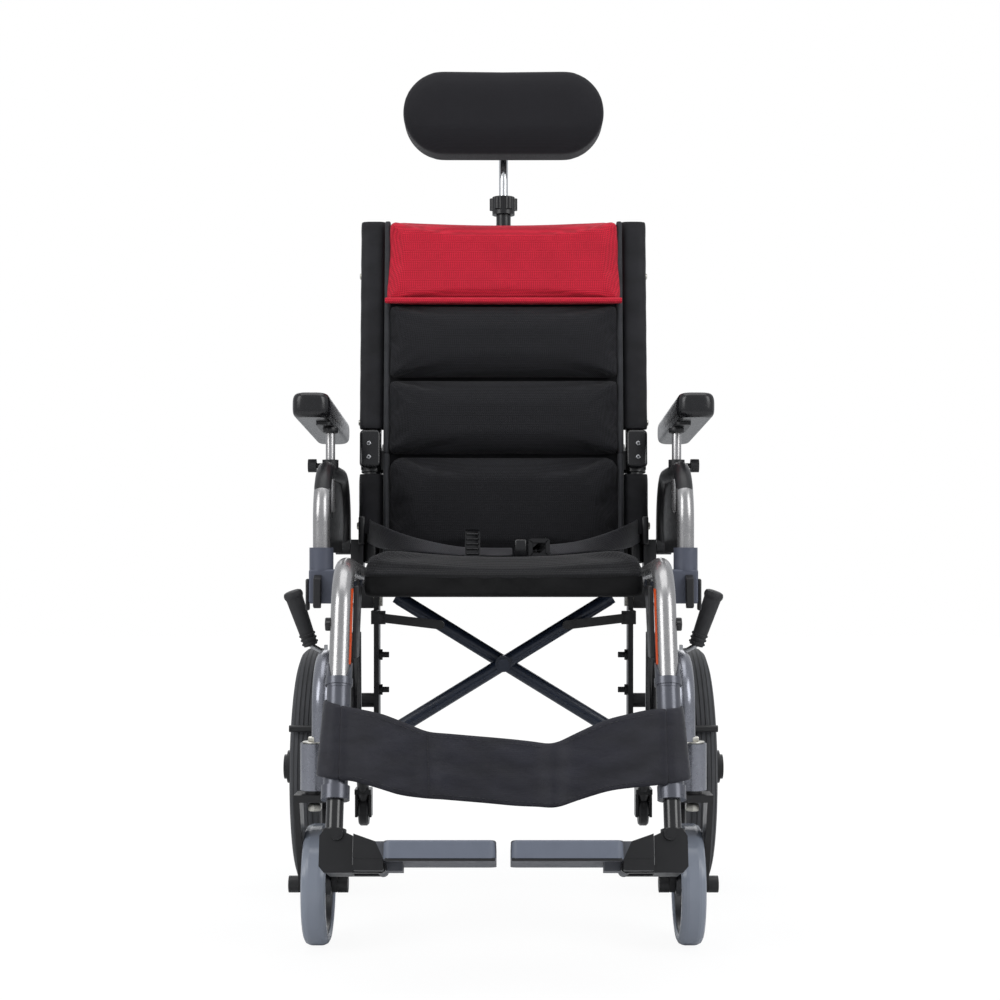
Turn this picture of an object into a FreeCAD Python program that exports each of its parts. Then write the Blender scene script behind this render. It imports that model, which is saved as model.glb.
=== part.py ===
import FreeCAD, Part
import math
import os

# Folding tilt in space wheelchair, in millimetres. The chair faces -Y and Z is up from the floor.
# "left" (-X) and "right" (+X) are those of a person who looks at its front.

# Overall layout
front_y = -450.0            # front edge of the footplates
castor_x = 231.0            # castor centre planes, each side
castor_y = -180.0           # castor axles
trail = 45.0                # swivel axis ahead of the castor axle
rear_x = 276.0              # rear wheel centre planes
rear_y = 220.0              # rear wheel axles
seat_x = 192.0              # seat tubes, leg tubes and back canes
base_x = 222.0              # base frame tubes

# Wheels
castor_diameter = 150.0
castor_width = 30.0
castor_tyre_depth = 14.0
rear_diameter = 350.0
rear_width = 42.0
rear_tyre_depth = 30.0
castor_axle_d = 8.0
rear_axle_d = 12.7
hub_cap_x = 323.0           # outer face of the rear hub cap
running_gap = 0.05          # radial clearance of every turning fit
side_gap = 1.0              # free space beside a turning part
soft_gap = 0.3              # free space round a soft part

# Tubes
tube_d = 25.4
tube_wall = 1.8
rail_d = 22.0
leg_d = 28.0
leg_wall = 2.0
leg_inner_d = 20.0
brace_d = 19.0
brace_wall = 1.6

# Base frame
housing_d = 35.0
housing_low = 199.0
housing_top = 256.0
bearing_d = 22.0
bearing_h = 10.0
stem_d = 12.0
rail_z = 227.0              # lower rail and lower brace pivots
base_corner_z = 378.0       # corner of the base tube above the castor
base_rear_z = 238.0         # base tube at the rear axle plate
base_bend = 60.0
axle_plate_t = 7.0
plate_t = 5.0               # flat steel brackets
upright_t = 7.0             # upright that carries the tilt pivot
upright_bolt_z = (302.0, 350.0)
bolt_d = 8.0

# Scissor brace
brace_pivot_x = 185.0
brace_angle = 31.6          # degrees above level when open
brace_upper = 166.3         # crossing to the upper end
brace_gap = 3.0             # between the two crossing tubes
brace_y = 0.0               # plane between the two tubes
link_d = 12.0
link_out = (166.0, 403.0)   # pivot on the frame, x and z
link_on_brace = 100.0       # crossing to the link's inner end

# Seat frame, tilting
tilt_y = 40.0
tilt_z = 425.0
tilt_pin_d = 10.0
seat_corner_z = 473.0       # front corner of the seat tube
seat_drop = 3.0             # degrees, seat tube falls to the rear
seat_bend = 72.0
leg_angle = 20.0            # degrees, leg tube leans forward of upright
leg_ref_y = -300.0
leg_ref_z = 404.0
seat_tube_end_z = 336.0
leg_tube_end_z = 221.0
leg_collar_z = 206.0
leg_inner_end_z = 166.0
seat_rear_y = 205.0

# Gas springs
gas_top = (-130.0, 432.0)   # upper pin, y and z
gas_low = (-120.0, 250.0)   # lower pin, y and z
gas_body_d = 20.0
gas_rod_d = 8.0
gas_eye_d = 24.0
gas_eye_thick = 8.0
gas_eye_hole = 15.0
gas_pin_d = 6.0

# Footplates
plate_in = 8.0              # inner end from the middle plane
plate_hinge_x = 137.0
plate_depth = 115.0
plate_thick = 20.0
plate_pitch = 15.0          # degrees, front edge up
plate_front_z = 153.0       # lower front edge
hinge_below = 7.0           # hinge axis below the plate's underside
hinge_pin_d = 6.0
knuckle_d = 13.0
gusset_x = 166.5            # where the plate's own gusset ends

# Back
cane_lean = 6.0             # degrees
cane_foot_y = 190.0
cane_foot_z = 470.0
fold_z = 642.0
fold_back = 24.0            # fold pin behind the cane's axis
cheek_t = 3.5
cane_top_z = 962.0
handle_reach = 130.0
handle_bend = 38.0
grip_d = 32.0
grip_length = 100.0

# Arms
arm_x = 235.0
arm_front_y = -108.0
arm_rear_y = 205.0
arm_tube_d = 22.0
arm_top_z = 600.0
arm_bend = 70.0
arm_pivot_z = 500.0
arm_pad_z = (668.0, 702.0)
arm_pad_x = (229.0, 279.0)
arm_pad_y = (-70.0, 255.0)
arm_pad_fall = 2.8
post_y = 10.0
post_d = 12.7
side_panel_t = 4.0

# Soft parts
cushion_half = 176.0
cushion_front = -240.0
cushion_rear = 146.0
cushion_low = 447.0
cushion_high = 489.0
back_thick = 36.0
back_bulge = 0.8            # the pads' sides stand out by this much
back_low_z = 500.0
back_seam_z = 632.0
back_channel_z = 745.0      # sewn channel between the two upper pads
back_red_z = 856.0
back_top_z = 974.0
head_width = 296.0
head_height = 125.0
head_thick = 66.0
head_z = 1131.0
head_y = 232.0
strap_width = 82.0
strap_t = 3.0
strap_sag = 44.0
strap_z = 275.0             # height of its middle line on the leg tubes
strap_inset = 30.0          # it runs back from the leg tubes by this much

# Headrest support
bar_z = 905.0
bar_d = 19.0
socket_d = 22.0
socket_top = 1001.0
knob_top = 1028.0
knob_d = 42.0
stem_bar_d = 14.4

# Brakes
brake_y = 26.0
brake_pivot_z = 322.0
shoe_d = 9.5

# Rear anti-tippers
tipper_y = 425.0
tipper_wheel_d = 50.0
tipper_z = 82.0
tipper_half = 8.0           # half the anti-tipper wheel's width

X = FreeCAD.Vector(1, 0, 0)
ORIGIN = FreeCAD.Vector(0, 0, 0)
rear_end_y = tipper_y + tipper_wheel_d / 2
middle_y = (front_y + rear_end_y) / 2

lean = math.tan(math.radians(cane_lean))
leg_slope = math.tan(math.radians(leg_angle))
seat_slope = math.tan(math.radians(seat_drop))
stem_y = castor_y - trail
foot_plate_out = seat_x + tube_d / 2 - 1 + plate_t     # faces of the canes' foot plates
foot_plate_in = seat_x - tube_d / 2 + 1 - plate_t
back_half = foot_plate_in - soft_gap - back_bulge
brace_half = brace_pivot_x / math.cos(math.radians(brace_angle))
cane_way = FreeCAD.Vector(0, math.sin(math.radians(cane_lean)), math.cos(math.radians(cane_lean)))
leg_way = FreeCAD.Vector(0, -math.sin(math.radians(leg_angle)), -math.cos(math.radians(leg_angle)))


def vec(x, y, z):
    return FreeCAD.Vector(x, y, z)


def box(x0, x1, y0, y1, z0, z1):
    return Part.makeBox(x1 - x0, y1 - y0, z1 - z0, vec(x0, y0, z0))


def rod(a, b, d):
    return Part.makeCylinder(d / 2, (b - a).Length, a, b - a)


def tube(a, b, d, bore):
    """A straight tube whose bore runs out of both ends."""
    way = (b - a).normalize()
    return rod(a, b, d).cut(rod(a - way, b + way, bore))


def pin_x(x0, x1, y, z, d):
    return rod(vec(x0, y, z), vec(x1, y, z), d)


def pin_y(x, y0, y1, z, d):
    return rod(vec(x, y0, z), vec(x, y1, z), d)


def pin_z(x, y, z0, z1, d):
    return rod(vec(x, y, z0), vec(x, y, z1), d)


def route(points, bend):
    """Straight runs joined by tangent arcs of one radius, as a wire."""
    edges = []
    start = points[0]
    for before, corner, after in zip(points, points[1:], points[2:]):
        come = (corner - before).normalize()
        leave = (after - corner).normalize()
        turn = come.getAngle(leave)
        reach = bend * math.tan(turn / 2)
        enter = corner - come * reach
        depart = corner + leave * reach
        inward = (leave - come).normalize()
        middle = corner + inward * (bend / math.cos(turn / 2) - bend)
        edges.append(Part.LineSegment(start, enter).toShape())
        edges.append(Part.Arc(enter, middle, depart).toShape())
        start = depart
    edges.append(Part.LineSegment(start, points[-1]).toShape())
    return Part.Wire(edges)


def pipe(points, bend, d):
    """A solid bar of diameter d along a bent route."""
    way = (points[1] - points[0]).normalize()
    ring = Part.Wire(Part.Circle(points[0], way, d / 2).toShape())
    return route(points, bend).makePipeShell([ring], True, False)


def bent_tube(points, bend, d, wall):
    return pipe(points, bend, d).cut(pipe(points, bend, d - 2 * wall))


def prism_x(points, x0, x1):
    """A flat plate: an outline in y and z, extruded from x0 to x1."""
    corners = [vec(x0, y, z) for y, z in points]
    face = Part.Face(Part.makePolygon(corners + corners[:1]))
    return face.extrude(vec(x1 - x0, 0, 0))


def prism_y(points, y0, y1):
    """A flat plate: an outline in x and z, extruded from y0 to y1."""
    corners = [vec(x, y0, z) for x, z in points]
    face = Part.Face(Part.makePolygon(corners + corners[:1]))
    return face.extrude(vec(0, y1 - y0, 0))


def revolve_x(points, x, y, z):
    """A ring about an axle along x: an outline in offset and radius, turned once."""
    corners = [vec(x + across, y, z + radius) for across, radius in points]
    face = Part.Face(Part.makePolygon(corners + corners[:1]))
    return face.revolve(vec(x, y, z), X, 360)


def fuse(*solids):
    return solids[0].fuse(list(solids[1:])).removeSplitter()


def rounded(solid, radius, edges=None):
    return solid.makeFillet(radius, edges or solid.Edges)


def base_tube_z(y):
    """Height of the base tube's axis on its straight rear run."""
    rear = rear_y - 30
    share = (y - stem_y) / (rear - stem_y)
    return base_corner_z + share * (base_rear_z - base_corner_z)


def cane_y(z):
    return cane_foot_y + (z - cane_foot_z) * lean


def leg_y(z):
    return leg_ref_y - (leg_ref_z - z) * leg_slope


def seat_z(y):
    """Height of the seat tube's axis."""
    return seat_corner_z - (y - leg_y(seat_corner_z)) * seat_slope


# Base frame: castor housing, base tube, lower rail and axle plate, welded
def make_base_frame():
    top = pin_z(castor_x, stem_y, housing_low, housing_top, housing_d)
    rear = rear_y - 30
    points = [
        vec(base_x, stem_y, housing_top - 6),
        vec(base_x, stem_y, base_corner_z),
        vec(base_x, rear, base_rear_z),
    ]
    outer = pipe(points, base_bend, tube_d)
    inner = pipe(points, base_bend, tube_d - 2 * tube_wall)
    lower_points = (vec(base_x, stem_y + housing_d / 2 - 4, rail_z), vec(base_x, rear, rail_z))
    rail = rod(*lower_points, rail_d)
    rail_bore = rod(*lower_points, rail_d - 2 * tube_wall)
    plate_x = base_x + tube_d / 2 - 2
    outline = [
        (rear - 30, base_rear_z + 26), (rear + 20, base_rear_z + 14), (rear_y + 26, rear_z() + 6),
        (rear_y + 22, rear_z() - 26), (rear_y - 22, rear_z() - 30), (rear - 34, rail_z - 14),
    ]
    plate = prism_x(outline, plate_x, plate_x + axle_plate_t)
    sleeve = pin_x(plate_x - 8, plate_x + axle_plate_t + 3, rear_y, rear_z(), rear_axle_d + 11)
    cap_r = tube_d / 2
    end_cap = Part.makeSphere(cap_r, vec(base_x, rear, base_rear_z))
    rail_cap = Part.makeSphere(rail_d / 2, vec(base_x, rear, rail_z))
    body = fuse(top, outer, rail, plate, sleeve, end_cap, rail_cap)
    body = body.cut(inner.cut(pin_z(castor_x, stem_y, 0, housing_top, housing_d)))
    body = body.cut(rail_bore.cut(pin_z(castor_x, stem_y, 0, housing_top, housing_d)))
    bearing_room = housing_top - 10 - housing_low
    body = body.cut(pin_z(castor_x, stem_y, housing_low - 1, housing_low + bearing_room, bearing_d))
    body = body.cut(pin_x(0, rear_x, rear_y, rear_z(), rear_axle_d))
    return body


def rear_z():
    return rear_diameter / 2


def castor_z():
    return castor_diameter / 2


# Black steel brackets of the base: upright with the tilt pivot, brace lugs, brake plate, spring lug
def upright_x():
    """Inner face of the upright plate, which stands inboard of the seat tube."""
    return seat_x - tube_d / 2 - upright_t - 2 * side_gap


def make_base_bracket():
    x0 = upright_x()
    x1 = x0 + upright_t
    reach = base_x - tube_d / 2
    front = brace_lugs()[1][1] - 2
    upright = prism_x(
        [(front, rail_z - 12), (tilt_y + 22, rail_z - 12), (tilt_y + 16, tilt_z), (tilt_y + 11, tilt_z + 13),
         (tilt_y - 11, tilt_z + 13), (front, tilt_z)], x0, x1)
    pads = [
        pin_x(x1 - 1, reach + 0.5, tilt_y + 4, base_tube_z(tilt_y + 4), 20),
        pin_x(x1 - 1, base_x - rail_d / 2 + 0.5, tilt_y + 4, rail_z, 18),
    ]
    body = fuse(upright, *pads)
    link_arm = box(link_out[0] - 8, x1, link_plane()[1] + side_gap, link_plane()[1] + side_gap + plate_t,
                   link_out[1] - 9, link_out[1] + 9)
    side_arm = box(x0, x1, link_plane()[1] + side_gap, tilt_y, link_out[1] - 9, link_out[1] + 9)
    body = fuse(body, link_arm, side_arm)
    lug_low = rail_z - 13
    lug_high = rail_z + 13
    for y0, y1 in brace_lugs():
        lug = prism_y([(brace_pivot_x - 11, lug_low), (base_x - 3, lug_low), (base_x - 3, lug_high),
                       (brace_pivot_x - 11, lug_high)], y0, y1)
        body = body.fuse(lug)
    web_y = brace_lugs()[1][1]
    body = fuse(body, box(x0, x1, web_y - 1, tilt_y, lug_low, lug_high))
    front_lug = brace_lugs()[0]
    body = fuse(body, box(x0, x1, front_lug[0], web_y, lug_low, lug_low + 4))
    body = body.cut(pin_x(0, base_x, tilt_y, tilt_z, tilt_pin_d))
    body = body.cut(pin_y(brace_pivot_x, -200, 200, rail_z, bolt_d))
    body = body.cut(pin_y(link_out[0], -200, 200, link_out[1], 5))
    body = body.cut(rod(vec(base_x, stem_y, rail_z), vec(base_x, rear_y, rail_z), rail_d + 0.4))
    straight = vec(base_x, rear_y - 30, base_rear_z) - vec(base_x, stem_y, base_corner_z)
    body = body.cut(rod(vec(base_x, stem_y, base_corner_z), vec(base_x, stem_y, base_corner_z) + straight,
                        tube_d + 0.4))
    return body


def make_spring_lug():
    y, z = gas_low
    low = rail_z - 9
    inner = seat_x - gas_eye_d / 2 + 1
    arm = prism_x([(y - 12, low), (y + 12, low), (y + 9, z + 9), (y - 9, z + 9)],
                  seat_x + gas_eye_thick / 2 + side_gap, seat_x + gas_eye_thick / 2 + side_gap + plate_t)
    foot = box(inner + 8, base_x - 2, y - 12, y + 12, low, low + 5)
    body = fuse(arm, foot)
    body = body.cut(rod(vec(base_x, stem_y, rail_z), vec(base_x, rear_y, rail_z), rail_d + 0.4))
    pin = pin_x(seat_x - gas_eye_thick / 2 - 2, seat_x + gas_eye_thick / 2 + side_gap + plate_t, y, z, gas_pin_d)
    head = pin_x(seat_x - gas_eye_thick / 2 - 4, seat_x - gas_eye_thick / 2 - 1.2, y, z, gas_pin_d + 5)
    return fuse(body, pin, head)


def brace_planes():
    """The y of the front and the rear brace tube's axis."""
    away = (brace_d + brace_gap) / 2
    return brace_y - away, brace_y + away


def brace_lugs():
    """The y spans of the front and the rear pivot lug."""
    near, far = brace_planes()
    half = brace_d / 2 + side_gap
    return (near - half - plate_t, near - half), (far + half, far + half + plate_t)


def link_plane():
    """The y span of the flat link bars, ahead of the front brace tube."""
    near = brace_planes()[0] - brace_d / 2 - 6 * side_gap
    return near - 4.0, near


# Scissor brace: two tubes that cross on a bolt
def brace_point(along, way):
    """x and z at a distance from the crossing along the tube that rises towards +x times way."""
    turn = math.radians(brace_angle)
    cross_z = rail_z + brace_half * math.sin(turn)
    return way * along * math.cos(turn), cross_z + along * math.sin(turn)


def make_brace(y, way):
    x_low, z_low = brace_point(-brace_half, way)
    x_high, z_high = brace_point(brace_upper, way)
    low = vec(x_low, y, z_low)
    high = vec(x_high, y, z_high)
    half = brace_d / 2
    body = tube(low, high, brace_d, brace_d - 2 * brace_wall)
    near, far = brace_planes()
    y0 = near - half
    y1 = far + half
    sleeve = pin_y(x_low, y0, y1, z_low, brace_d + 2)
    cap = rod(high, high + (high - low).normalize() * 5, brace_d - 1)
    cross_z = brace_point(0, way)[1]
    boss = pin_y(0, y - half, y + half, cross_z, 20)
    body = fuse(body, sleeve, cap, boss)
    return body.cut(pin_y(0, y0 - 1, y1 + 1, cross_z, bolt_d + 2 * running_gap)) \
        .cut(pin_y(x_low, y0 - 1, y1 + 1, z_low, bolt_d + 2 * running_gap))


def make_brace_bolt():
    near, far = brace_planes()
    half = brace_d / 2
    z = brace_point(0, 1)[1]
    shank = pin_y(0, near - half - 6, far + half + 6, z, bolt_d)
    washer = pin_y(0, near - half - 2.4, near - half - 0.4, z, 22)
    head = pin_y(0, near - half - 7, near - half - 2, z, 15)
    nut = pin_y(0, far + half + 0.4, far + half + 6, z, 15)
    return fuse(shank, washer, head, nut)


def make_link():
    """A flat bar from the frame's upright towards the brace tube, with a stub at its open end."""
    y0, y1 = link_plane()
    x_out, z_out = link_out
    x_in, z_in = brace_point(link_on_brace, 1)
    run = vec(x_in - x_out, 0, z_in - z_out)
    side = vec(-run.z, 0, run.x).normalize() * (link_d / 2)
    corners = [vec(x_out, 0, z_out) + side, vec(x_out, 0, z_out) - side,
               vec(x_in, 0, z_in) - side, vec(x_in, 0, z_in) + side]
    bar = prism_y([(c.x, c.z) for c in corners], y0, y1)
    ends = [pin_y(x_out, y0, y1, z_out, link_d), pin_y(x_in, y0, y1 + 3, z_in, link_d)]
    return fuse(bar, *ends).cut(pin_y(x_out, y0 - 1, y1 + 1, z_out, 5 + 2 * running_gap))


# Castors
def make_fork():
    inner = castor_width / 2 + 2
    outer = inner + 7
    z = castor_z()
    low_y = castor_y
    legs = []
    for x0, x1 in ((castor_x - outer, castor_x - inner), (castor_x + inner, castor_x + outer)):
        leg = prism_x([(stem_y - 17, housing_low - 12), (stem_y + 24, housing_low - 12),
                       (low_y + 12, z + 6), (low_y + 8, z - 9), (low_y - 8, z - 9), (low_y - 12, z + 6)], x0, x1)
        legs.append(leg)
    crown = box(castor_x - outer, castor_x + outer, stem_y - 17, stem_y + 24, housing_low - 14, housing_low - 5)
    collar = pin_z(castor_x, stem_y, housing_low - 6, housing_low - side_gap, 24)
    stem = pin_z(castor_x, stem_y, housing_low - 6, housing_top - 14, stem_d)
    body = fuse(crown, collar, stem, *legs)
    return body.cut(pin_x(0, 400, castor_y, z, castor_axle_d))


def make_castor_axle():
    z = castor_z()
    half = castor_width / 2 + 9
    shank = pin_x(castor_x - half - 12, castor_x + half + 12, castor_y, z, castor_axle_d)
    caps = [pin_x(castor_x - half - 13, castor_x - half - 0.2, castor_y, z, 21),
            pin_x(castor_x + half + 0.2, castor_x + half + 13, castor_y, z, 21)]
    return fuse(shank, *caps)


def make_castor_wheel():
    half = castor_width / 2
    rim_r = castor_z() - castor_tyre_depth
    hub = revolve_x([(-half - 1, castor_axle_d / 2 + running_gap), (half + 1, castor_axle_d / 2 + running_gap),
                     (half + 1, 13), (4, 17), (4, rim_r - 9), (half - 3, rim_r - 5), (half - 3, rim_r),
                     (-half + 3, rim_r), (-half + 3, rim_r - 5), (-4, rim_r - 9), (-4, 17), (-half - 1, 13)],
                    castor_x, castor_y, castor_z())
    return hub


def make_castor_tyre():
    half = castor_width / 2
    r = castor_z()
    rim_r = r - castor_tyre_depth
    return revolve_x([(-half + 2, rim_r), (half - 2, rim_r), (half, rim_r + 3), (half, r - 6), (half - 2, r - 2.5),
                      (half - 6, r - 0.6), (half - 9, r), (-half + 9, r), (-half + 6, r - 0.6), (-half + 2, r - 2.5),
                      (-half, r - 6), (-half, rim_r + 3)], castor_x, castor_y, r)


def make_bearings():
    rings = []
    room_top = housing_top - 10
    for z0 in (housing_low, room_top - bearing_h):
        ring = pin_z(castor_x, stem_y, z0, z0 + bearing_h, bearing_d)
        rings.append(ring.cut(pin_z(castor_x, stem_y, z0 - 1, z0 + bearing_h + 1, stem_d + 2 * running_gap)))
    return rings


# Rear wheels
def rim_r():
    return rear_diameter / 2 - rear_tyre_depth


def make_rear_wheel():
    half = rear_width / 2
    r = rim_r()
    hub = revolve_x([(-half - 4, rear_axle_d / 2 + running_gap), (half + 6, rear_axle_d / 2 + running_gap),
                     (half + 6, 24), (half - 6, 30), (-half + 6, 30), (-half - 4, 22)], rear_x, rear_y, rear_z())
    rim = revolve_x([(-half + 5, r - 7), (half - 5, r - 7), (half - 3, r), (-half + 3, r)], rear_x, rear_y, rear_z())
    spokes = []
    spoke = prism_x([(-13, 27), (13, 27), (9, r - 5), (-9, r - 5)], -7, 7)
    for k in range(6):
        turned = spoke.copy()
        turned.rotate(ORIGIN, X, 60 * k)
        turned.translate(vec(rear_x, rear_y, rear_z()))
        spokes.append(turned)
    return fuse(hub, rim, *spokes)


def make_rear_tyre():
    half = rear_width / 2
    top = rear_z()
    r = rim_r()
    return revolve_x([(-half + 5, r), (half - 5, r), (half - 1, r + 6), (half, r + 14), (half - 3, top - 7),
                      (half - 9, top - 1.6), (half - 13, top), (-half + 13, top), (-half + 9, top - 1.6),
                      (-half + 3, top - 7), (-half, r + 14), (-half + 1, r + 6)], rear_x, rear_y, top)


def make_rear_axle():
    z = rear_z()
    shank = pin_x(base_x, hub_cap_x - 4, rear_y, z, rear_axle_d)
    nut = pin_x(base_x - 5, base_x + 2.2, rear_y, z, 22)
    cap = pin_x(rear_x + rear_width / 2 + 7, hub_cap_x - 5, rear_y, z, 48)
    dome = pin_x(hub_cap_x - 6, hub_cap_x, rear_y, z, 36)
    return fuse(shank, nut, cap, dome)


# Brakes
def make_brake_plate():
    x0 = base_x + tube_d / 2 + 0.3
    plate = prism_x([(brake_y - 22, brake_pivot_z - 40), (brake_y + 8, shoe_z() + 30), (brake_y + 18, brake_pivot_z - 34),
                     (brake_y + 12, brake_pivot_z + 12), (brake_y - 12, brake_pivot_z + 12)], x0, x0 + plate_t)
    pivot = pin_x(x0, x0 + plate_t + 9, brake_y, brake_pivot_z, 8)
    shoe_pin = pin_x(x0, x0 + plate_t + 9, brake_y, shoe_z() + 44, 8)
    return fuse(plate, pivot, shoe_pin)


def shoe_z():
    return rear_z() + 72


def shoe_y():
    """The brake bar stands just ahead of the tyre."""
    reach = rear_diameter / 2 + shoe_d / 2 + 3.6
    return rear_y - math.sqrt(reach ** 2 - (shoe_z() - rear_z()) ** 2)


def brake_x():
    return base_x + tube_d / 2 + 0.3 + plate_t


def make_brake_lever():
    x0 = brake_x() + 0.6
    x1 = x0 + 4
    eye = pin_x(x0, x1, brake_y, brake_pivot_z, 20)
    stem = prism_x([(brake_y - 8, brake_pivot_z), (brake_y + 8, brake_pivot_z), (brake_y + 5, brake_pivot_z + 42),
                    (brake_y - 7, brake_pivot_z + 42)], x0, x1)
    grip_low = vec(x0 + 22, brake_y - 6, brake_pivot_z + 42)
    grip_high = vec(x0 + 46, brake_y - 16, brake_pivot_z + 114)
    blade = rod(vec(x0 + 2, brake_y - 1, brake_pivot_z + 30), grip_low, 7)
    body = fuse(eye, stem, blade).cut(pin_x(x0 - 5, x1 + 5, brake_y, brake_pivot_z, 8 + 2 * running_gap))
    grip_way = grip_high - grip_low
    grip = Part.makeCone(9.5, 12, grip_way.Length, grip_low, grip_way)
    return [body, grip.cut(blade)]


def make_brake_shoe():
    x0 = brake_x() + 0.6
    pivot_z = shoe_z() + 44
    arm = prism_x([(brake_y - 7, pivot_z + 8), (brake_y + 8, pivot_z + 8), (shoe_y() + 4, shoe_z() - 4),
                   (shoe_y() - 4, shoe_z() - 5)], x0, x0 + 4)
    bar = pin_x(x0, rear_x + rear_width / 2 - 1, shoe_y(), shoe_z(), shoe_d)
    return fuse(arm, bar).cut(pin_x(x0 - 5, x0 + 9, brake_y, pivot_z, 8 + 2 * running_gap))


# Anti-tippers
def make_tipper():
    start = vec(base_x, rear_y - 30 + rail_d, rail_z - 16)
    points = [start, vec(base_x, tipper_y - 60, rail_z - 45), vec(base_x, tipper_y, tipper_z)]
    leg = pipe(points, 40, 19)
    foot = pin_x(base_x - 12, base_x + 12, tipper_y, tipper_z, 20)
    seat = box(base_x - 10, base_x + 10, rear_y - 46, rear_y - 6, rail_z - 30, rail_z - rail_d / 2 - 0.3)
    body = fuse(leg, foot, seat)
    slot = pin_x(base_x - tipper_half - side_gap, base_x + tipper_half + side_gap, tipper_y, tipper_z,
                 tipper_wheel_d + 2)
    axle = pin_x(base_x - 13, base_x + 13, tipper_y, tipper_z, 6)
    cheeks = [box(base_x - 13, base_x - tipper_half - side_gap, tipper_y - 22, tipper_y + 9, tipper_z - 9,
                  tipper_z + 34),
              box(base_x + tipper_half + side_gap, base_x + 13, tipper_y - 22, tipper_y + 9, tipper_z - 9,
                  tipper_z + 34)]
    plate = box(base_x - 13, base_x + 13, tipper_y - 30, tipper_y + 4, tipper_z + 28, tipper_z + 36)
    body = body.cut(slot)
    return fuse(body, axle, plate, *cheeks)


def make_tipper_wheel():
    half = tipper_half
    r = tipper_wheel_d / 2
    return revolve_x([(-half, 3 + running_gap), (half, 3 + running_gap), (half, r - 3), (half - 3, r),
                      (-half + 3, r), (-half, r - 3)], base_x, tipper_y, tipper_z)


# Seat frame: the silver tube that runs forward under the cushion and bends down into the leg rest
def leg_point(z):
    return vec(seat_x, leg_y(z), z)


def make_seat_frame():
    rear = vec(seat_x, seat_rear_y, seat_z(seat_rear_y))
    corner = vec(seat_x, leg_y(seat_corner_z), seat_corner_z)
    points = [rear, corner, leg_point(seat_tube_end_z)]
    body = bent_tube(points, seat_bend, tube_d, tube_wall)
    lug_x0 = upright_x() + upright_t + side_gap
    lug_x1 = seat_x + tube_d / 2 - 4
    lug = prism_x([(tilt_y - 18, seat_z(tilt_y)), (tilt_y + 18, seat_z(tilt_y)), (tilt_y + 11, tilt_z - 11),
                   (tilt_y - 11, tilt_z - 11)], lug_x0, lug_x1)
    gas_y, gas_z = gas_top
    half = gas_eye_thick / 2 + side_gap
    solids = [body, lug]
    for x0, x1 in ((seat_x - half - 3, seat_x - half), (seat_x + half, seat_x + half + 3)):
        ear = prism_x([(gas_y - 12, seat_z(gas_y) - 6), (gas_y + 12, seat_z(gas_y) - 6), (gas_y + 6, gas_z - 6),
                       (gas_y - 6, gas_z - 6)], x0, x1)
        solids.append(ear)
    solids.append(pin_x(seat_x - half - 3, seat_x + half + 3, gas_y, gas_z, gas_pin_d))
    frame = fuse(*solids)
    bore = pipe(points, seat_bend, tube_d - 2 * tube_wall)
    frame = frame.cut(bore)
    return frame.cut(pin_x(0, base_x, tilt_y, tilt_z, tilt_pin_d + 2 * running_gap))


def make_seat_trim():
    """The dark cover inside the corner of the seat tube, with its coloured front edge."""
    x1 = seat_x - tube_d / 2 - 0.3
    x0 = x1 - 6
    low = 364.0
    high = 449.0
    front = tube_d / 2 - 4
    outline = [(leg_y(low) + front, low), (leg_y(high) + front, high), (leg_y(high) + 60, high),
               (leg_y(low) + 45, low)]
    return rounded(prism_x(outline, x0, x1), 1.5)


def make_leg_tube():
    top = leg_point(seat_tube_end_z - 0.3)
    low = leg_point(leg_tube_end_z)
    ring = tube(leg_point(seat_tube_end_z + 5), top, leg_d + 4, tube_d + 0.4)
    outer = tube(top, low, leg_d, leg_d - 2 * leg_wall)
    lid = tube(top, top + leg_way * 5, leg_d, 8)
    collar = tube(low, leg_point(leg_collar_z), leg_d + 5, leg_inner_d + 0.4)
    joint = tube(leg_point(seat_tube_end_z + 1), top + leg_way * 3, leg_d + 4, leg_d - 3)
    joint = joint.cut(rod(leg_point(seat_tube_end_z + 9), top, tube_d + 0.4))
    return fuse(outer, lid, ring, joint, collar)


def plate_frame(shape):
    """Lay a shape drawn with its front lower edge at y 0, z 0 into the footplate's pitched place."""
    placed = shape.copy()
    placed.rotate(ORIGIN, X, -plate_pitch)
    placed.translate(vec(0, front_y, plate_front_z))
    return placed


def make_footplate():
    x0 = plate_in
    x1 = plate_hinge_x - 4
    slab = box(x0, x1, 0, plate_depth, 0, plate_thick)
    upright = [e for e in slab.Edges if abs(e.BoundBox.ZLength - plate_thick) < 0.01]
    slab = rounded(slab, 9, upright)
    level = [e for e in slab.Edges if e.BoundBox.ZMin > plate_thick - 0.01]
    slab = rounded(slab, 2.5, level)
    knuckle_z = -hinge_below
    knuckle = pin_y(plate_hinge_x, 44, 72, knuckle_z, knuckle_d)
    neck = box(plate_hinge_x - 24, plate_hinge_x, 44, 72, knuckle_z - 3, 4)
    gusset = prism_y([(x1 - 8, 1), (x1 - 8, plate_thick), (x1 + 9, plate_thick), (gusset_x, plate_thick + 8.5),
                      (gusset_x, 1)], 14, 30)
    body = fuse(slab, neck, knuckle, gusset)
    body = body.cut(pin_y(plate_hinge_x, -10, 200, knuckle_z, hinge_pin_d + 2 * running_gap))
    return plate_frame(body)


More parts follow.
